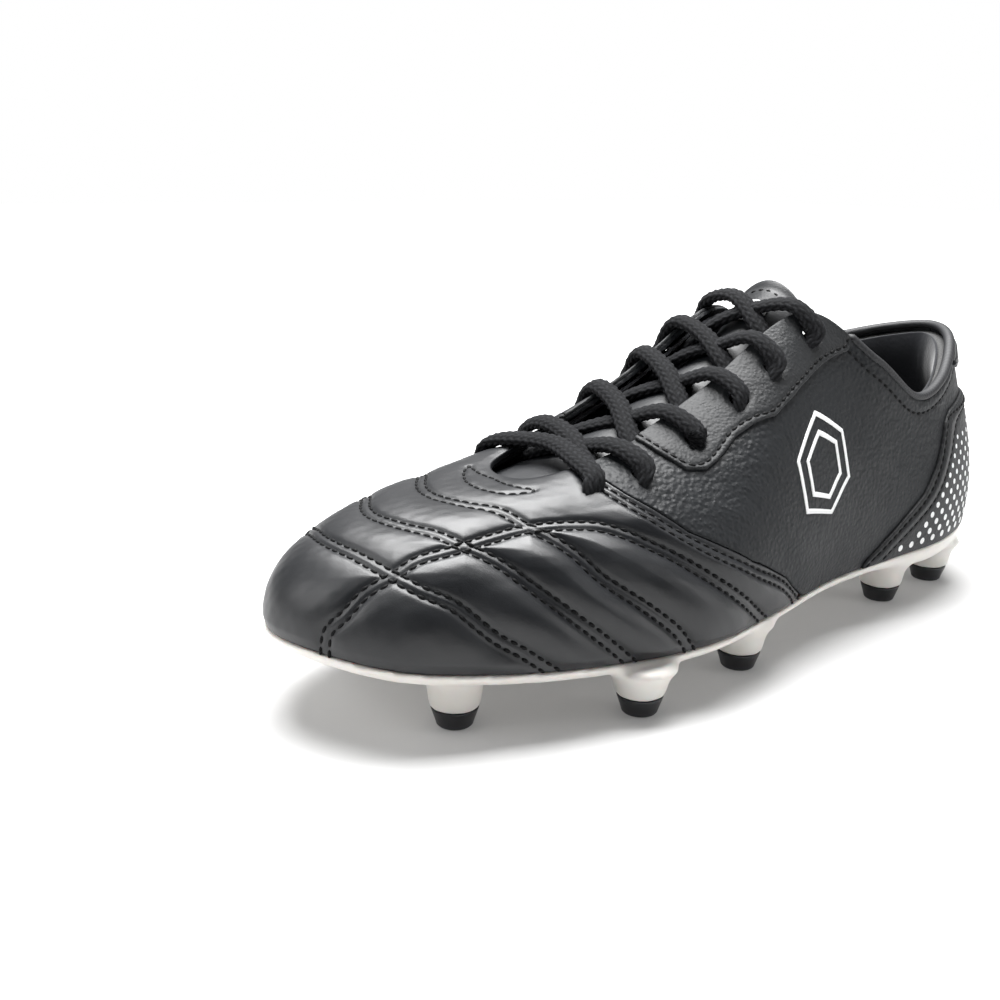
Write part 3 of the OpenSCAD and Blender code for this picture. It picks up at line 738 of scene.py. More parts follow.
vamp = sheet_of_upper("vamp_quilted_leather", (4.62, RIB_COUNT - 4.62), level_at(0),
                      lambda s: np.where(lateral(s) < 7.65, seam(lateral(s)) - 0.001, 1.0),
                      540, 165, vamp_relief,
                      level_at(-1.4), smooth_leather, roll=0.7, inner_rows=7)
for side in (1, -1):
    punch(vamp, side, [5])
assemble(vamp, "shoe", "vamp_leather", "vamp")

# ---------------------------------------------------------------------------
# Quarters. Fine pebbled black leather on both sides, from the vamp seam to the
# heel. The padded topline swells a little above its stitch row.
# ---------------------------------------------------------------------------

FACING = [(4.38, .98), (4.42, .93), (4.75, .79), (4.9, .73), (5.08, .68), (5.28, .65),
          (5.53, .68), (5.73, .69), (5.93, .66), (6.08, .65), (6.3, .69), (6.58, .83),
          (6.8, .98)]
facing_edge = from_table(FACING)

# Embossed leather: an even pebble grain about 1.3 mm across, satin, a blue-grey cast.
pebbled_leather, tree, here = blank_material("embossed_leather_pebbled_black")
warp = add(tree, "ShaderNodeTexNoise", {"Vector": here, "Scale": 300.0, "Detail": 2.0})
shifted = add(tree, "ShaderNodeVectorMath", {0: warp.outputs["Color"],
              1: (0.0008, 0.0008, 0.0008), 2: here},
              operation="MULTIPLY_ADD")
pebbles = cell_distance(tree, shifted.outputs[0], 750, "SMOOTH_F1")
folds = noise(tree, here, 240, 5, Distortion=0.8)
relief = times_plus(tree, pebbles, -1.0, folds)
clouds = noise(tree, here, 40, 4)
tint = tinted(tree, clouds, "#0e1013", "#191c1f")
gloss = ranged(tree, clouds, 0.5, 0.6, 0.3, 0.7)
bump = bumped(tree, relief, 0.8, 0.4)
finish(tree, tint, gloss, Normal=bump, IOR=1.5, Specular_IOR_Level=0.3)


def quarter_relief(s, t):
    """Puffed topline, a pulled stitch row under it, and slack creases by the ball."""
    side = np.minimum(lateral(s), 20)
    height = np.linalg.norm(skin(s, 1.0) - skin(s, t), axis=-1) / MM
    topline = np.clip((4.9 - side) / 0.3, 0, 1)
    roll_up = topline * (0.5 * np.exp(-((height - 2.2) / 1.8) ** 2)
                         - 0.35 * np.exp(-((height - 4.6) / 0.6) ** 2))
    slack = np.clip((side - 4.6) / 1.0, 0, 1)
    return (roll_up + 0.18 * ripple(s, t, 9 * MM, 3) + 0.07 * slack * ripple(s, t, 4 * MM, 5)
            + 0.04 * ripple(s, t, 2 * MM, 7)) * np.clip(t / 0.04, 0, 1)


for side, side_name in ((1, "lateral"), (-1, "medial")):
    ends = (0.02, 7.6) if side > 0 else (RIB_COUNT - 7.6, RIB_COUNT - 0.02)
    piece = sheet_of_upper(
        f"quarter_{side_name}_leather", ends,
        lambda s: np.where(lateral(s) < 4.5, 0.0, seam(lateral(s)) + 0.001),
        level_at(1), 280, 90, quarter_relief, level_at(-1.4), pebbled_leather, roll=0.7,
        inner_rows=12)
    punch(piece, side, range(5))
    assemble(piece, "shoe", "quarter_leather", f"quarter_{side_name}")

# ---------------------------------------------------------------------------
# Facings. Matt fine-grained black leather overlays with a wavy lower edge, sewn
# onto the quarters to carry the five upper pairs of eyelets.
# ---------------------------------------------------------------------------

# Fine-grained leather: duller than the vamp, grain about 0.9 mm.
fine_leather, tree, here = blank_material("fine_grain_leather_black")
grain = cell_distance(tree, here, 1100, "SMOOTH_F1")
veins = noise(tree, here, 500, 5)
relief = times_plus(tree, grain, -0.8, veins)
clouds = noise(tree, here, 70, 3)
tint = tinted(tree, clouds, "#161719", "#212325")
bump = bumped(tree, relief, 0.7, 0.3)
finish(tree, tint, 0.56, Normal=bump, IOR=1.5, Specular_IOR_Level=0.35)


def facing_relief(s, t):
    """The overlay's thickness, pulled in along its stitch row and at each eyelet."""
    here = skin(s, t)
    e = facing_distance(s, t)
    deep = 0.28 * np.exp(-((e - 1.9) / 0.6) ** 2)
    for station, height in EYELETS[:5]:
        for centre_s in (station, RIB_COUNT - station):
            d = np.linalg.norm(here - skin(centre_s, height), axis=-1) / MM
            deep = deep + 0.45 * np.exp(-((d - 3.0) / 1.2) ** 2)
    return 1.15 - np.minimum(deep, 0.8) + 0.08 * ripple(s, t, 5 * MM, 6)


facing_distance = nearest(across_sides(FACING))
for side, side_name in ((1, "lateral"), (-1, "medial")):
    ends = (4.4, 6.8) if side > 0 else (RIB_COUNT - 6.8, RIB_COUNT - 4.4)
    piece = sheet_of_upper(f"facing_{side_name}_overlay", ends,
                           lambda s: facing_edge(lateral(s)), level_at(1), 170, 60,
                           facing_relief, level_at(0.02), fine_leather, roll=0.75,
                           inner_rows=8)
    punch(piece, side, range(5))
    assemble(piece, "shoe", "facing_leather", f"facing_{side_name}")

# ---------------------------------------------------------------------------
# Heel overlay and tab. A coated black panel wraps the heel, with a corded ridge
# between two stitch rows and a screen-printed field of white dots below it. A
# small tab is sewn over its top at the back seam.
# ---------------------------------------------------------------------------

COUNTER = [(0, 0.66), (1, 0.72), (1.9, 0.8), (2.1, 0.76), (2.35, 0.51), (2.6, 0.34),
           (3, 0.2), (3.55, 0.02)]
COUNTER_INNER = [(0, 0.5), (0.6, 0.56), (1.2, 0.66), (1.7, 0.68), (1.98, 0.54),
                 (2.33, 0.31), (2.7, 0.17), (3.2, 0.02)]
TAB = [(0, 0.74), (0.8, 0.82), (1.5, 0.97)]
counter_edge, counter_inner = from_table(COUNTER), from_table(COUNTER_INNER)


def both_heel_sides(table, count=600):
    """One curve round the heel from the lateral to the medial side."""
    half = [p for p in table if p[0] > 0]
    return curve_through([(-s, t) for s, t in half[::-1]] + half, count)


counter_line, counter_inner_line = both_heel_sides(COUNTER), both_heel_sides(COUNTER_INNER)
counter_distance = nearest([counter_line])
inner_distance = nearest([counter_inner_line])


def counter_relief(s, t):
    """A ridge between the edge and the inner row, and a pulled groove on both rows."""
    e, f = counter_distance(s, t), inner_distance(s, t)
    ridge = 0.75 * np.exp(-((e - f) / 3.0) ** 2) * np.clip(1 - (e + f - 4) / 8, 0, 1)
    grooves = 0.3 * np.exp(-((e - 1.6) / 0.55) ** 2) + 0.35 * np.exp(-(f / 0.6) ** 2)
    return 1.15 + (ridge - grooves) * np.clip(t / 0.06, 0, 1)


overlay = sheet_of_upper("heel_overlay_panel", (-3.5, 3.5), level_at(0.005),
                         lambda s: counter_edge(np.abs(s)), 260, 80, counter_relief,
                         level_at(0.02), fine_leather, roll=0.75, inner_rows=8)
assemble(overlay, "shoe", "heel_overlay", "heel_counter_overlay")
tab_edge = from_table(TAB)
tab_distance = nearest([both_heel_sides(TAB)])
tab = sheet_of_upper("heel_tab_patch", (-1.45, 1.45), lambda s: tab_edge(np.abs(s)),
                     level_at(0.985), 90, 24,
                     lambda s, t: 1.5 - 0.3 * np.exp(-((tab_distance(s, t) - 1.6) / 0.5) ** 2),
                     level_at(0.02), fine_leather, roll=0.75)
assemble(tab, "shoe", "heel_tab", "heel_tab")

# Screen-printed ink: flat white, a little uneven over the grain.
white_ink, tree, here = blank_material("screen_print_white")
mottle = noise(tree, here, 900, 3)
tint = tinted(tree, mottle, "#e4e5e5", "#f7f8f8")
bump = bumped(tree, mottle, 0.3, 0.05)
finish(tree, tint, 0.55, Normal=bump)


def geometry_tree(name, fields):
    """An empty geometry node tree with a geometry input and named size inputs."""
    made = bpy.data.node_groups.new(name, "GeometryNodeTree")
    made.interface.new_socket("Geometry", in_out="INPUT", socket_type="NodeSocketGeometry")
    for field, kind, value in fields:
        socket = made.interface.new_socket(field, in_out="INPUT", socket_type=kind)
        if value is not None:
            socket.default_value = value
    made.interface.new_socket("Geometry", in_out="OUTPUT", socket_type="NodeSocketGeometry")
    return made, made.nodes.new("NodeGroupInput"), made.nodes.new("NodeGroupOutput")


def set_inputs(modifier, values):
    """Sets the modifier's inputs, found by the socket's identifier."""
    for item in modifier.node_group.interface.items_tree:
        if item.item_type == "SOCKET" and item.in_out == "INPUT" and item.name in values:
            modifier[item.identifier] = values[item.name]


# Flat printed dots, one for each point, square to the surface there
dot_tree, given, made = geometry_tree("printed_dots", [
    ("Dot diameter", "NodeSocketFloat", 2.2 * MM),
    ("Ink thickness", "NodeSocketFloat", 0.12 * MM),
    ("Ink", "NodeSocketMaterial", None)])
radius = add(dot_tree, "ShaderNodeMath", {0: given.outputs["Dot diameter"], 1: 0.5},
             operation="MULTIPLY")
disc = add(dot_tree, "GeometryNodeMeshCylinder", {"Vertices": 14, "Radius": radius.outputs[0],
           "Depth": given.outputs["Ink thickness"]})
facing_out = add(dot_tree, "GeometryNodeInputNamedAttribute", {"Name": "outward"},
                 data_type="FLOAT_VECTOR")
size_of = add(dot_tree, "GeometryNodeInputNamedAttribute", {"Name": "size"},
              data_type="FLOAT")
turn = add(dot_tree, "FunctionNodeAlignRotationToVector",
           {"Vector": facing_out.outputs[0]}, axis="Z")
spots = add(dot_tree, "GeometryNodeMeshToPoints", {"Mesh": given.outputs["Geometry"]})
placed = add(dot_tree, "GeometryNodeInstanceOnPoints", {"Points": spots.outputs[0],
             "Instance": disc.outputs[0], "Rotation": turn.outputs[0],
             "Scale": size_of.outputs[0]})
real = add(dot_tree, "GeometryNodeRealizeInstances", {0: placed.outputs[0]})
inked = add(dot_tree, "GeometryNodeSetMaterial", {"Geometry": real.outputs[0],
            "Material": given.outputs["Ink"]})
dot_tree.links.new(inked.outputs[0], made.inputs[0])

ROW_GAP, DOT_GAP = 2.9, 6.2
heights = np.linspace(0.02, 0.72, 160)
spread = np.linspace(-3.4, 3.4, 400)
grid_s, grid_t = np.meshgrid(spread, heights, indexing="ij")
lattice = skin(grid_s, grid_t)
climb = np.concatenate([np.zeros((len(spread), 1)),
                        np.linalg.norm(np.diff(lattice, axis=1), axis=-1).cumsum(1)], 1) / MM
dots_s, dots_t, dots_size = [], [], []
for row in range(24):
    row_t = np.array([np.interp(2.4 + row * ROW_GAP, climb[i], heights)
                      for i in range(len(spread))])
    line = skin(spread, row_t)
    run = np.concatenate([[0], np.linalg.norm(np.diff(line, axis=0), axis=-1).cumsum()]) / MM
    run -= np.interp(0, spread, run)
    start = DOT_GAP / 2 if row % 2 else 0
    for k in range(-22, 23):
        at = start + k * DOT_GAP
        if not run[0] < at < run[-1]:
            continue
        s_at = np.interp(at, run, spread)
        t_at = np.interp(s_at, spread, row_t)
        if t_at < counter_inner(abs(s_at)) - 0.045 and t_at > 0.03 and t_at < 0.6:
            dots_s.append(s_at)
            dots_t.append(t_at)
            dots_size.append(0.72 + 0.38 * (1 - t_at / 0.6))
dots_s, dots_t = np.array(dots_s), np.array(dots_t)
outer = counter_relief(dots_s, dots_t) * MM
positions = skin(dots_s, dots_t, outer + 0.02 * MM)
dots = new_piece("heel_printed_dots", positions, [])
for label, kind, values in (
        ("outward", "FLOAT_VECTOR",
         unit(skin(dots_s, dots_t, 1.0 * MM) - skin(dots_s, dots_t))),
        ("size", "FLOAT", np.array(dots_size))):
    layer = dots.data.attributes.new(label, kind, "POINT")
    layer.data.foreach_set("vector" if kind != "FLOAT" else "value", values.ravel())
modifier = dots.modifiers.new("dots", "NODES")
modifier.node_group = dot_tree
set_inputs(modifier, {"Ink": white_ink})
bake(dots)
assemble(dots, "shoe", "print")

# ---------------------------------------------------------------------------
# Emblem. A plain hexagon in two rings, screen printed in white on each quarter.
# ---------------------------------------------------------------------------

EMBLEM_CENTRE, EMBLEM_RADII = (4.56, 0.49), (0.42, 0.18)
for side, side_name in ((1, "lateral"), (-1, "medial")):
    points, faces = [], []
    steps = 14
    corner = [(math.cos(math.radians(60 * i)), math.sin(math.radians(60 * i)))
              for i in range(7)]
    for wide, narrow in ((1, 0.9), (0.66, 0.56)):
        first = len(points)
        for i in range(6):
            for f in np.arange(steps) / steps:
                x = corner[i][0] * (1 - f) + corner[i + 1][0] * f
                y = corner[i][1] * (1 - f) + corner[i + 1][1] * f
                for k, depth in ((wide, 0.02), (wide, 0.2), (wide - 0.015, 0.26),
                                 (narrow + 0.015, 0.26), (narrow, 0.2), (narrow, 0.02)):
                    s_at = EMBLEM_CENTRE[0] + k * EMBLEM_RADII[0] * x
                    s_at = s_at if side > 0 else RIB_COUNT - s_at
                    t_at = EMBLEM_CENTRE[1] + k * EMBLEM_RADII[1] * y
                    level_here = depth + float(quarter_relief(np.array(s_at), np.array(t_at)))
                    points.append(skin(s_at, t_at, level_here * MM))
        count = 6 * steps
        for i in range(count):
            for k in range(6):
                a, b = first + i * 6, first + (i + 1) % count * 6
                face = [a + k, b + k, b + (k + 1) % 6, a + (k + 1) % 6]
                faces.append(face if side > 0 else face[::-1])
    emblem = new_piece(f"emblem_{side_name}_print", points, faces, white_ink)
    assemble(emblem, "shoe", "print", f"emblem_{side_name}")

# ---------------------------------------------------------------------------
# Collar. Foam under a brushed lining pads the opening, and a folded binding
# closes its top edge all round.
# ---------------------------------------------------------------------------

# Open-cell foam: dark grey and matt, with small cells.
foam, tree, here = blank_material("open_cell_foam")
cells = cell_distance(tree, here, 1500)
tint = tinted(tree, cells, "#3c3c3c", "#5a5a5a")
finish(tree, tint, 0.95)


def swell(v):
    return np.clip(1 - v * v, 0, 1)


def foam_at(s, t):
    """Thickness of the collar's foam in millimetres."""
    side = np.where(s > RIB_COUNT / 2, RIB_COUNT - s, np.abs(s))
    return 5.5 * swell((t - 0.8) / 0.24) ** 0.6 * swell((side / 4.5) ** 4)


padding = sheet_of_upper("collar_foam", (-4.2, 4.2), level_at(0.6), level_at(0.975), 120, 24,
                         level_at(-1.55), lambda s, t: -1.75 - foam_at(s, t), foam, roll=0.1)
assemble(padding, "shoe", "foam", "collar_padding")


collar_lining = sheet_of_upper(
    "collar_lining_pad", (-4.4, 4.4), level_at(0.6), level_at(0.985), 200, 40,
    lambda s, t: -1.9 - foam_at(s, t),
    lambda s, t: -2.8 - foam_at(s, t) - 0.3 * ripple(s, t, 7 * MM, 8) * swell((t - 0.8) / 0.2),
    lining, roll=0.3)
assemble(collar_lining, "shoe", "lining", "collar_lining")

# Folded synthetic binding: black, a fine twill across it, slightly shiny.
binding_tape, tree, here = blank_material("folded_binding_black")
twill = add(tree, "ShaderNodeTexWave", {"Vector": here, "Scale": 420.0,
            "Distortion": 1.0}, bands_direction="DIAGONAL")
bump = bumped(tree, twill.outputs["Fac"], 0.4, 0.12)
tint = tinted(tree, twill.outputs["Fac"], "#141518", "#1f2023")
finish(tree, tint, 0.6, Normal=bump)


def tube(name, path, size, normals, material, sides=16, shape=None):
    """A closed tube along a path. size gives its (width, height) at each point."""
    tangents = unit(np.gradient(path, axis=0))
    up = unit(normals - (normals * tangents).sum(-1, keepdims=True) * tangents)
    side_way = np.cross(tangents, up)
    angle = np.arange(sides) * 2 * math.pi / sides
    w, h = size[:, 0:1, None] / 2, size[:, 1:2, None] / 2
    grow = 0 if shape is None else shape[:, :, None]
    points = (path[:, None] + side_way[:, None] * np.cos(angle)[None, :, None] * (w + grow)
              + up[:, None] * np.sin(angle)[None, :, None] * (h + grow))
    return new_piece(name, *loop_stack(list(points)), material)


run = np.linspace(-4.4, 4.4, 420)
line = skin(run, 1.0, -1.3 * MM) + (0, 0, 1.0 * MM)
girth = np.tile([3.8 * MM, 3.0 * MM], (len(run), 1)) * np.clip(
    np.minimum(run + 4.4, 4.4 - run) / 0.03, 0.35, 1)[:, None]
binding = tube("collar_binding_roll", line, girth, np.tile([0.0, 0, 1], (len(run), 1)),
               binding_tape, 18)
assemble(binding, "shoe", "binding", "collar_binding")

# ---------------------------------------------------------------------------
# Stitching. Black polyester thread, about eight stitches to the inch, in pairs
# over the vamp and in single rows along the overlays and the topline.
# ---------------------------------------------------------------------------

# Bonded polyester thread: black, slightly shiny, with its twist just visible.
thread, tree, here = blank_material("polyester_thread_black")
twist = add(tree, "ShaderNodeTexWave", {"Vector": here, "Scale": 900.0},
            bands_direction="DIAGONAL")
tint = tinted(tree, twist.outputs["Fac"], "#040405", "#0e0f10")
finish(tree, tint, 0.6, Specular_IOR_Level=0.15)

stitch_tree, given, made = geometry_tree("lock_stitches", [
    ("Stitch pitch", "NodeSocketFloat", 3.0 * MM),
    ("Stitch length", "NodeSocketFloat", 2.5 * MM),
    ("Thread thickness", "NodeSocketFloat", 1.1 * MM), ("Thread", "NodeSocketMaterial", None)])
rows = add(stitch_tree, "GeometryNodeMeshToCurve", {"Mesh": given.outputs["Geometry"]})
marks = add(stitch_tree, "GeometryNodeResampleCurve", {"Curve": rows.outputs[0],
            "Length": given.outputs["Stitch pitch"]}, mode="LENGTH")
ball = add(stitch_tree, "GeometryNodeMeshUVSphere", {"Segments": 8, "Rings": 5, "Radius": 0.5})
lie = add(stitch_tree, "ShaderNodeCombineXYZ", {0: given.outputs["Stitch length"],
          1: given.outputs["Thread thickness"], 2: given.outputs["Thread thickness"]})
stretched = add(stitch_tree, "GeometryNodeTransform", {"Geometry": ball.outputs[0],
                "Scale": lie.outputs[0]})
heading = add(stitch_tree, "GeometryNodeInputTangent")
outward = add(stitch_tree, "GeometryNodeInputNamedAttribute", {"Name": "outward"},
              data_type="FLOAT_VECTOR")
along_row = add(stitch_tree, "FunctionNodeAlignRotationToVector",
                {"Vector": heading.outputs[0]}, axis="X")
upright = add(stitch_tree, "FunctionNodeAlignRotationToVector",
              {"Rotation": along_row.outputs[0], "Vector": outward.outputs[0]},
              axis="Z", pivot_axis="X")
placed = add(stitch_tree, "GeometryNodeInstanceOnPoints", {"Points": marks.outputs[0],
             "Instance": stretched.outputs[0], "Rotation": upright.outputs[0]})
real = add(stitch_tree, "GeometryNodeRealizeInstances", {0: placed.outputs[0]})
dyed = add(stitch_tree, "GeometryNodeSetMaterial", {"Geometry": real.outputs[0],
           "Material": given.outputs["Thread"]})
stitch_tree.links.new(dyed.outputs[0], made.inputs[0])


def sew(name, lines, body, slot):
    """One piece of stitching along lines of (points, outward directions)."""
    points, edges, normals = [], [], []
    for path, out in lines:
        edges += [(len(points) + i, len(points) + i + 1) for i in range(len(path) - 1)]
        points += path.tolist()
        normals += out.tolist()
    mesh = bpy.data.meshes.new(name)
    mesh.from_pydata(points, edges, [])
    layer = mesh.attributes.new("outward", "FLOAT_VECTOR", "POINT")
    layer.data.foreach_set("vector", np.ravel(normals))
    piece = bpy.data.objects.new(name, mesh)
    bpy.context.scene.collection.objects.link(piece)
    modifier_ = piece.modifiers.new("stitches", "NODES")
    modifier_.node_group = stitch_tree
    set_inputs(modifier_, {"Thread": thread})
    bake(piece)
    piece.data.shade_smooth()
    assemble(piece, body, slot)


def on_surface(s, t, relief, sunk=0.12, keep=None):
    """A stitch row's points and outward directions on a panel with that relief."""
    s, t = np.asarray(s), np.asarray(t)
    if keep is not None:
        inside = keep(s, t)
        s, t = s[inside], t[inside]
    level_here = (relief(s, t) - sunk) * MM
    return skin(s, t, level_here), unit(skin(s, t, 1.0 * MM) - skin(s, t))


def on_vamp(s, t):
    side = lateral(s)
    return (t > 0.012) & (t < np.where(side < 7.65, seam(side), 0.98) - 0.008)


rows_of_vamp = []
for s, t in quilt_lines:
    for offset in (ROW_OFFSET, -ROW_OFFSET):
        rows_of_vamp.append(on_surface(*moved(s, t, offset), vamp_relief, 0.05, on_vamp))
for s, t in seam_line:
    for offset in (1.6, 4.2, -1.6, -4.2):
        rows_of_vamp.append(on_surface(*moved(s, t, offset), vamp_relief, 0.05, on_vamp))
rows_of_vamp.append(on_surface(*curve_through(LEAF, 300), vamp_relief, 0.05))
sew("stitching_of_vamp", rows_of_vamp, "shoe", "vamp_leather")

rows_of_overlays = []
for k, (s, t) in enumerate(across_sides(FACING)):
    s2, t2 = moved(s, t, -1.9 if k == 0 else 1.9)
    rows_of_overlays.append(on_surface(
        s2, t2, facing_relief, 0.1,
        lambda a, b: (b < 0.975) & (lateral(a) > 4.43) & (lateral(a) < 6.78)))
rows_of_overlays.append(on_surface(
    *moved(*counter_line, 1.6), counter_relief, 0.1, lambda a, b: b > 0.02))
rows_of_overlays.append(on_surface(*counter_inner_line, counter_relief, 0.1,
                                   lambda a, b: b > 0.03))
sew("stitching_of_overlays", rows_of_overlays, "shoe", "facing_leather")

run = np.concatenate([np.linspace(-4.45, -1.5, 300), np.linspace(1.5, 4.45, 300)])
heights_at = np.linspace(0.8, 1.0, 60)
column = skin(run[:, None], heights_at[None])
left = np.linalg.norm(column[:, -1:] - column, axis=-1) / MM
row_t = np.array([np.interp(-4.6, -left[i], heights_at) for i in range(len(run))])
sew("stitching_of_topline",
    [on_surface(run[part], row_t[part], quarter_relief, 0.08)
     for part in (slice(0, 300), slice(300, 600))], "shoe", "quarter_leather")

# ---------------------------------------------------------------------------
# Tongue. Soft black leather over foam with a brushed lining, sewn to the vamp
# under the throat and free above it. A plain woven label sits near its top.
# ---------------------------------------------------------------------------

TONGUE_LINE = MM * np.array([[74, 56.2], [50, 60], [-14, 81.2], [-40, 112]])
TONGUE_ARCH = [(0, .003), (.13, .004), (.25, .012), (.5, .027), (.75, .042), (.85, .055),
               (.94, .045), (1, .038)]
TONGUE_HALF = [(0, 16), (.1, 19), (.25, 20.5), (.5, 20.5), (.72, 20), (.84, 14.8),
               (.9, 14.8), (.95, 15.2), (.985, 13.8), (1, 11.5)]


def tongue_skin(u, v, deep=0.0):
    """A point of the tongue at length u, breadth v, deep metres under its face."""
    def face(u_, v_):
        w = (1 - u_)[..., None]
        k = u_[..., None]
        line_ = (w ** 3 * TONGUE_LINE[0] + 3 * w * w * k * TONGUE_LINE[1]
                 + 3 * w * k * k * TONGUE_LINE[2] + k ** 3 * TONGUE_LINE[3])
        y = v_ * np.interp(u_, *zip(*TONGUE_HALF)) * MM
        sag = np.interp(u_, *zip(*TONGUE_ARCH)) / MM * y * y
        return np.stack([line_[..., 0], -4 * MM + y, line_[..., 1] - sag], -1)

    u, v = np.broadcast_arrays(np.asarray(u, float), np.asarray(v, float))
    e = 0.01
    a = face(np.minimum(u + e, 1), v) - face(np.maximum(u - e, 0), v)
    b = face(u, v + e) - face(u, v - e)
    return face(u, v) - np.asarray(deep)[..., None] * unit(np.cross(b, a))


def tongue_layer(name, ends, wide, top, bottom, material, columns=100, rows_=40, roll=0.4):
    """A closed layer of the tongue, its edges rolled. top and bottom are depths in mm."""
    a, b = np.meshgrid(spaced(columns), spaced(rows_), indexing="ij")
    u, v = ends[0] + (ends[1] - ends[0]) * a, wide * (2 * b - 1)
    rim = from_edge(tongue_skin(u, v))
    upper = tongue_skin(u, v, top(u, v, rim / MM) * MM + rolled(rim, roll * MM))
    under = tongue_skin(u, v, bottom(u, v, rim / MM) * MM)
    m, n = u.shape
    i, j = np.meshgrid(np.arange(m - 1), np.arange(n - 1), indexing="ij")
    p = (i * n + j).ravel()
    faces_ = np.column_stack([p, p + 1, p + n + 1, p + n]).tolist()
    faces_ += (np.column_stack([p, p + n, p + n + 1, p + 1]) + m * n).tolist()
    g = np.arange(m - 1) * n
    faces_ += np.column_stack([g, g + n, g + n + m * n, g + m * n]).tolist()
    g = g + n - 1
    faces_ += np.column_stack([g, g + m * n, g + n + m * n, g + n]).tolist()
    g = np.arange(n - 1)
    faces_ += np.column_stack([g, g + m * n, g + 1 + m * n, g + 1]).tolist()
    g = g + (m - 1) * n
    faces_ += np.column_stack([g, g + 1, g + 1 + m * n, g + m * n]).tolist()
    return new_piece(name, np.concatenate([upper.reshape(-1, 3), under.reshape(-1, 3)]),
                     faces_, material)


# Soft drum-dyed leather: black, satin, with loose creases 2 to 4 mm apart.
soft_leather, tree, here = blank_material("drum_dyed_leather_black")
creases = noise(tree, here, 260, 6, Distortion=0.9)
pores = cell_distance(tree, here, 1300, "SMOOTH_F1")
relief = times_plus(tree, pores, -0.5, creases)
clouds = noise(tree, here, 60, 3)
tint = tinted(tree, clouds, "#151619", "#202225")
bump = bumped(tree, relief, 0.4, 0.18)
finish(tree, tint, 0.48, Normal=bump, IOR=1.5)


def tongue_face_depth(u, v, rim):
    """The face dimples along its stitch row and wrinkles softly in the middle."""
    row = 0.35 * np.exp(-((rim - 3.2) / 0.7) ** 2)
    p = tongue_skin(u, v) / (6 * MM)
    waves = np.sin(p[..., 0] * 1.7 + p[..., 1]) * np.cos(p[..., 1] * 2.1 - p[..., 0])
    return row - 0.12 * waves * np.clip(rim / 6, 0, 1)


tongue_face = tongue_layer("tongue_leather_face", (0, 1), 1.0, tongue_face_depth,
                           lambda u, v, rim: np.full(u.shape, 1.2), soft_leather, 130, 60)
tongue_pad = tongue_layer("tongue_foam_pad", (0.02, 0.98), 0.93,
                          lambda u, v, rim: np.full(u.shape, 1.3),
                          lambda u, v, rim: np.full(u.shape, 4.25), foam, 50, 20)
tongue_back = tongue_layer("tongue_lining_back", (0, 1), 1.0,
                           lambda u, v, rim: np.full(u.shape, 4.4),
                           lambda u, v, rim: np.full(u.shape, 5.15), lining, 90, 40)
for piece, slot_name, node_name in ((tongue_face, "tongue_leather", "tongue_face"),
                                    (tongue_pad, "foam", "tongue_foam"),
                                    (tongue_back, "lining", "tongue_lining")):
    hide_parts(node_name)
    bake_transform(piece)

label = tongue_layer("tongue_woven_label", (0.86, 0.93), 0.4,
                     lambda u, v, rim: np.full(u.shape, -0.35),
                     lambda u, v, rim: np.full(u.shape, -0.05), white_ink, 30, 30, roll=0.15)
assemble(label, "tongue", "print", "tongue_label")

v_run, u_run = np.linspace(-1, 1, 60), np.linspace(0.12, 0.965, 260)
rows_of_tongue = []
for edge in (1, -1):
    half = np.interp(u_run, *zip(*TONGUE_HALF))
    v_at = edge * (1 - 3.2 / half)
    path = tongue_skin(u_run, v_at, 0.3 * MM)
    rows_of_tongue.append((path, unit(tongue_skin(u_run, v_at, -MM) - path)))
v_at = v_run * (1 - 3.2 / 11.5)
path = tongue_skin(np.full(60, 0.965), v_at, 0.3 * MM)
rows_of_tongue.append((path, unit(tongue_skin(np.full(60, 0.965), v_at, -MM) - path)))
sew("stitching_of_tongue", rows_of_tongue, "tongue", "tongue_leather")

# ---------------------------------------------------------------------------
# Lace. A flat-oval tubular black braid about 0.93 m long and nearly 7 mm wide. It
# criss-crosses the throat, and both tails are tucked inside on the sockliner.
# Each end is sealed in a short film aglet.
# ---------------------------------------------------------------------------

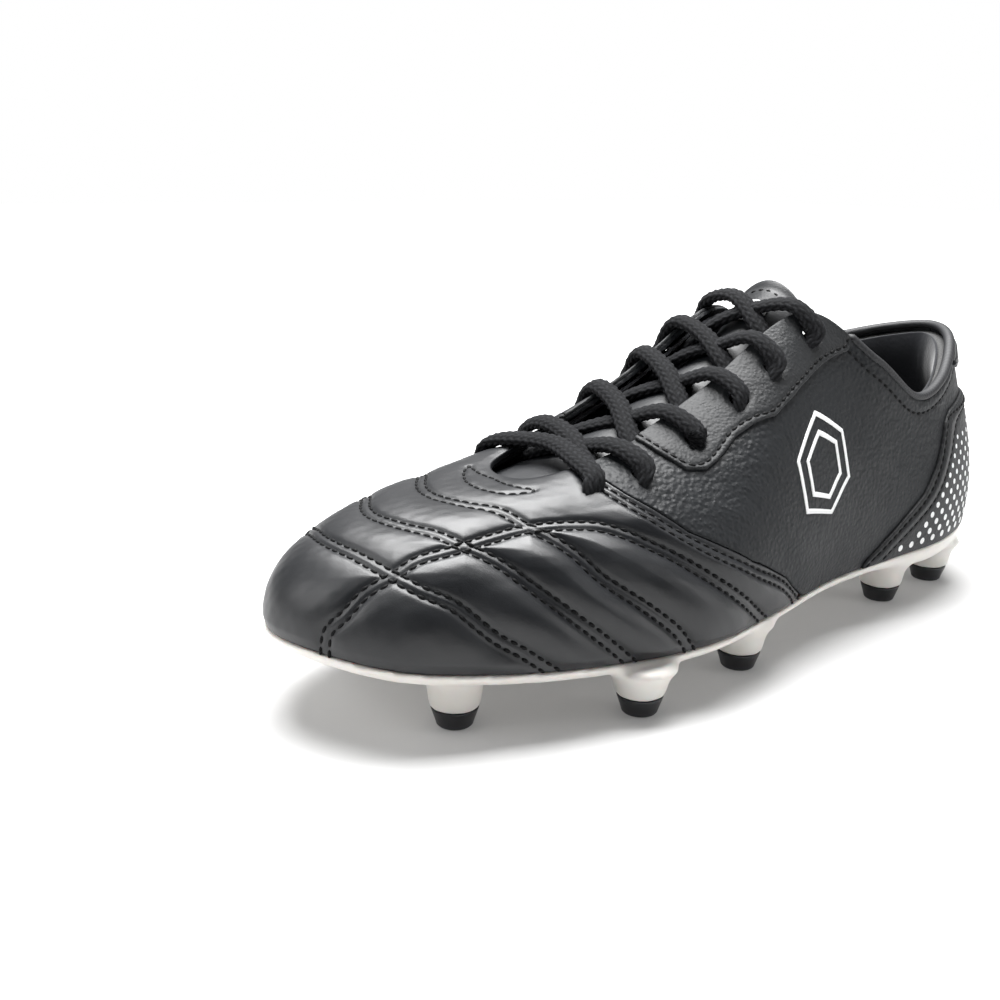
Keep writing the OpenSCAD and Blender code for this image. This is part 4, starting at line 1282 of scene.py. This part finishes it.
LACE_ROUTE = MM * np.array([
    [-103, -6, 29.5], [-92, -1, 28.5], [-79, 6, 38], [-65, 10, 60], [-44, 12, 87],
    [-37.5, 12, 94.5], [-35, 17, 94], [-36.5, 18.5, 98.5], [-33.5, 12, 105.5],
    [-29, 1.5, 104.2], [-22.5, -8.5, 99.4], [-17, -16.5, 91], [-13.5, -19.5, 86],
    [-11, -24.5, 85], [-12, -25.5, 90], [-12, -18.5, 98.5], [-12.5, -7, 96], [-11, 3, 90],
    [-10, 11.5, 82], [-6, 16.5, 77], [-2, 21, 77], [-2.5, 20, 82.5], [-0.5, 11, 86.5],
    [2.5, -0.5, 82.5], [9, -10.5, 78.5], [14, -18.5, 73.5], [17.5, -22.5, 69.5],
    [19.5, -27, 69.5], [19, -27.5, 74.5], [20.5, -19, 80], [23, -6, 76.5], [28, 5, 70],
    [31.5, 14, 63], [36.5, 19, 60], [39, 24, 61], [38, 22.5, 66], [39.5, 12, 69],
    [41, -0.5, 66.6], [46, -11, 64.4], [50, -20, 60], [54.5, -24, 58], [57.5, -28, 60],
    [56, -27, 64.5], [53.5, -18, 67], [50, -3.5, 68], [52, 11, 66], [53.5, 20, 63.5],
    [55.5, 21, 59], [52.5, 17.5, 57], [47.5, 13.8, 60.4], [45, 4.5, 64.8], [42, -6.5, 69],
    [41, -19, 70.5], [40.5, -29, 67], [41.5, -29.5, 62.5], [39, -25, 61.5], [35, -20.5, 64.5],
    [29.5, -11.5, 69], [23, -1, 73], [19.5, 11.5, 77], [16.5, 21.5, 72.5], [17.5, 22.5, 67.5],
    [14.5, 18, 66.5], [10.8, 12.2, 71.6], [7.5, 3.5, 79.5], [4, -6.5, 86], [2, -19, 89.5],
    [1, -26, 83], [1.5, -25.5, 78], [-1, -20.5, 78.5], [-4.5, -17.5, 83], [-9, -9.5, 89.1],
    [-14, 0, 93.1], [-16.5, 11, 96.5], [-18, 19.5, 91], [-16.5, 19.5, 85], [-20, 15, 86],
    [-24.3, 11.3, 91.8], [-25.8, 2.2, 101.3], [-27.5, -8, 107], [-28, -19.5, 105],
    [-28.5, -24.5, 98], [-27.5, -22.5, 93.5], [-29.5, -20.5, 93.5], [-36.5, -23, 86],
    [-55, -14, 62], [-70, -9, 42], [-86, -9, 28.8], [-100, -13, 29.6]])
LACE_WIDTH, LACE_THICKNESS = 6.8 * MM, 3.9 * MM
YARN_COUNT, YARN_PITCH = 10, 2.7 * MM


def smooth_route(route, spacing):
    """Points at an even spacing along a rounded curve through the route."""
    p = np.concatenate([2 * route[:1] - route[1:2], route, 2 * route[-1:] - route[-2:-1]])
    out = []
    for i in range(len(route) - 1):
        f = np.linspace(0, 1, 24, endpoint=False)[:, None]
        a, b, c, d = p[i], p[i + 1], p[i + 2], p[i + 3]
        out.append(b + 0.5 * f * (c - a + f * (2 * a - 5 * b + 4 * c - d
                                               + f * (3 * b - a - 3 * c + d))))
    fine = np.concatenate(out + [route[-1:]])
    for _ in range(6):
        fine[1:-1] = 0.25 * fine[:-2] + 0.5 * fine[1:-1] + 0.25 * fine[2:]
    run_ = np.concatenate([[0], np.linalg.norm(np.diff(fine, axis=0), axis=-1).cumsum()])
    marks_ = np.linspace(0, run_[-1], int(run_[-1] / spacing))
    return np.stack([np.interp(marks_, run_, fine[:, k]) for k in range(3)], -1), marks_


lace_path, lace_run = smooth_route(LACE_ROUTE, 0.55 * MM)
# The flat side faces away from the middle of the foot, turning smoothly at each eyelet
away = lace_path - np.column_stack([lace_path[:, 0] - 0.012, np.full(len(lace_path), -0.004),
                                    np.full(len(lace_path), 0.03)])
away[lace_path[:, 2] < 0.05] = (0, 0, 1)
tangents = unit(np.gradient(lace_path, axis=0))
wanted = away - (away * tangents).sum(-1, keepdims=True) * tangents
weight = np.linalg.norm(wanted, axis=-1, keepdims=True) / np.linalg.norm(away, axis=-1,
                                                                       keepdims=True)
flat_way = unit(wanted)
for _ in range(300):
    spread_ = flat_way.copy()
    spread_[1:-1] = flat_way[:-2] + flat_way[2:]
    flat_way = unit(spread_ * 0.5 + 0.03 * weight ** 3 * unit(wanted))
    flat_way = unit(flat_way - (flat_way * tangents).sum(-1, keepdims=True) * tangents)

sides = 36
angle = np.arange(sides) * 2 * math.pi / sides
ellipse = np.column_stack([np.cos(angle) * LACE_WIDTH / 2, np.sin(angle) * LACE_THICKNESS / 2])
steps_ = np.linalg.norm(np.roll(ellipse, -1, 0) - ellipse, axis=-1)
round_ = np.concatenate([[0], steps_.cumsum()[:-1]]) / steps_.sum()
yarn = round_ * YARN_COUNT
in_yarn = yarn - np.floor(yarn)
lean = np.where(np.floor(yarn) % 2 == 0, 1.0, -1.0)
phase = lace_run[:, None] / YARN_PITCH + lean * (in_yarn - 0.5) * 0.7 + (lean > 0) * 0.5
braid = 0.32 * MM * (np.sin(math.pi * in_yarn) - 0.5 + 0.6 * np.cos(2 * math.pi * phase))
pinch = np.clip(np.minimum(lace_run, lace_run[-1] - lace_run) / (4 * MM), 0, 1)
girth = np.column_stack([3.0 * MM + (LACE_WIDTH - 3.0 * MM) * pinch,
                         2.6 * MM + (LACE_THICKNESS - 2.6 * MM) * pinch])
girth = girth - 0.3 * MM

# Braided polyester: black yarns crossing in chevrons, with a painted highlight on each crown
# and painted shade, nearly black, in the valleys between them.
braided, tree, here = blank_material("braided_polyester_black")
lay = add(tree, "ShaderNodeUVMap", uv_map="braid")
crown = add(tree, "ShaderNodeAttribute", attribute_name="crown")
filaments = add(tree, "ShaderNodeTexWave", {"Vector": lay.outputs[0], "Scale": 0.45,
                "Distortion": 1.5}, bands_direction="DIAGONAL")
fluff = noise(tree, here, 1500, 3)
relief = times_plus(tree, filaments.outputs["Fac"], 0.4, fluff)
# Painted light: each raised crown of the braid is painted lighter and each valley nearly
# black, broken up by the fuzz noise
crown_highlight_and_valley_shade = add(tree, "ShaderNodeMath", {0: crown.outputs["Fac"], 1: fluff},
           operation="MULTIPLY")
tint = tinted(tree, crown_highlight_and_valley_shade.outputs[0], "#050506", "#38393c")
bump = bumped(tree, relief, 0.5, 0.15)
finish(tree, tint, 0.85, Normal=bump, Specular_IOR_Level=0.15)

lace = tube("lace_braid", lace_path, girth, flat_way, braided, sides, braid)
uv = lace.data.uv_layers.new(name="braid")
loops_ = np.zeros(len(lace.data.loops), int)
lace.data.loops.foreach_get("vertex_index", loops_)
flat_uv = np.column_stack([lace_run[loops_ // sides] / MM, round_[loops_ % sides] * 15])
uv.data.foreach_set("uv", flat_uv.ravel())
# The crown mask drives the painted highlight on the braid's crowns and the painted shade in
# its valleys
crowns = lace.data.attributes.new("crown", "FLOAT", "POINT")
crowns.data.foreach_set("value", ((braid - braid.min()) / np.ptp(braid)).ravel() ** 1.5)

# Film aglets: a clear-coated black sleeve shrunk round each lace end.
film, tree, here = blank_material("shrunk_film_black")
wraps = noise(tree, here, 400)
tint = tinted(tree, wraps, "#0c0c0d", "#1a1a1c")
finish(tree, tint, 0.25, Coat_Weight=0.5)
for side_name, end, following in (("lateral", LACE_ROUTE[0], LACE_ROUTE[1]),
                                  ("medial", LACE_ROUTE[-1], LACE_ROUTE[-2])):
    way = unit(end - following)
    marks_ = np.array([-0.6, 0, 0.4, 1.4, 8, 14.6, 15.6, 15.95]) * MM
    width = np.array([2.9, 3.0, 2.9, 2.75, 2.7, 2.75, 2.6, 1.6]) * MM
    aglet = tube(f"aglet_{side_name}_sleeve", end + way * marks_[:, None],
                 np.column_stack([width, width]), np.tile([0.0, 0, 1], (len(marks_), 1)),
                 film, 24)
    assemble(aglet, "shoe", "aglet", f"aglet_{side_name}")
assemble(lace, "shoe", "lace", "lace")
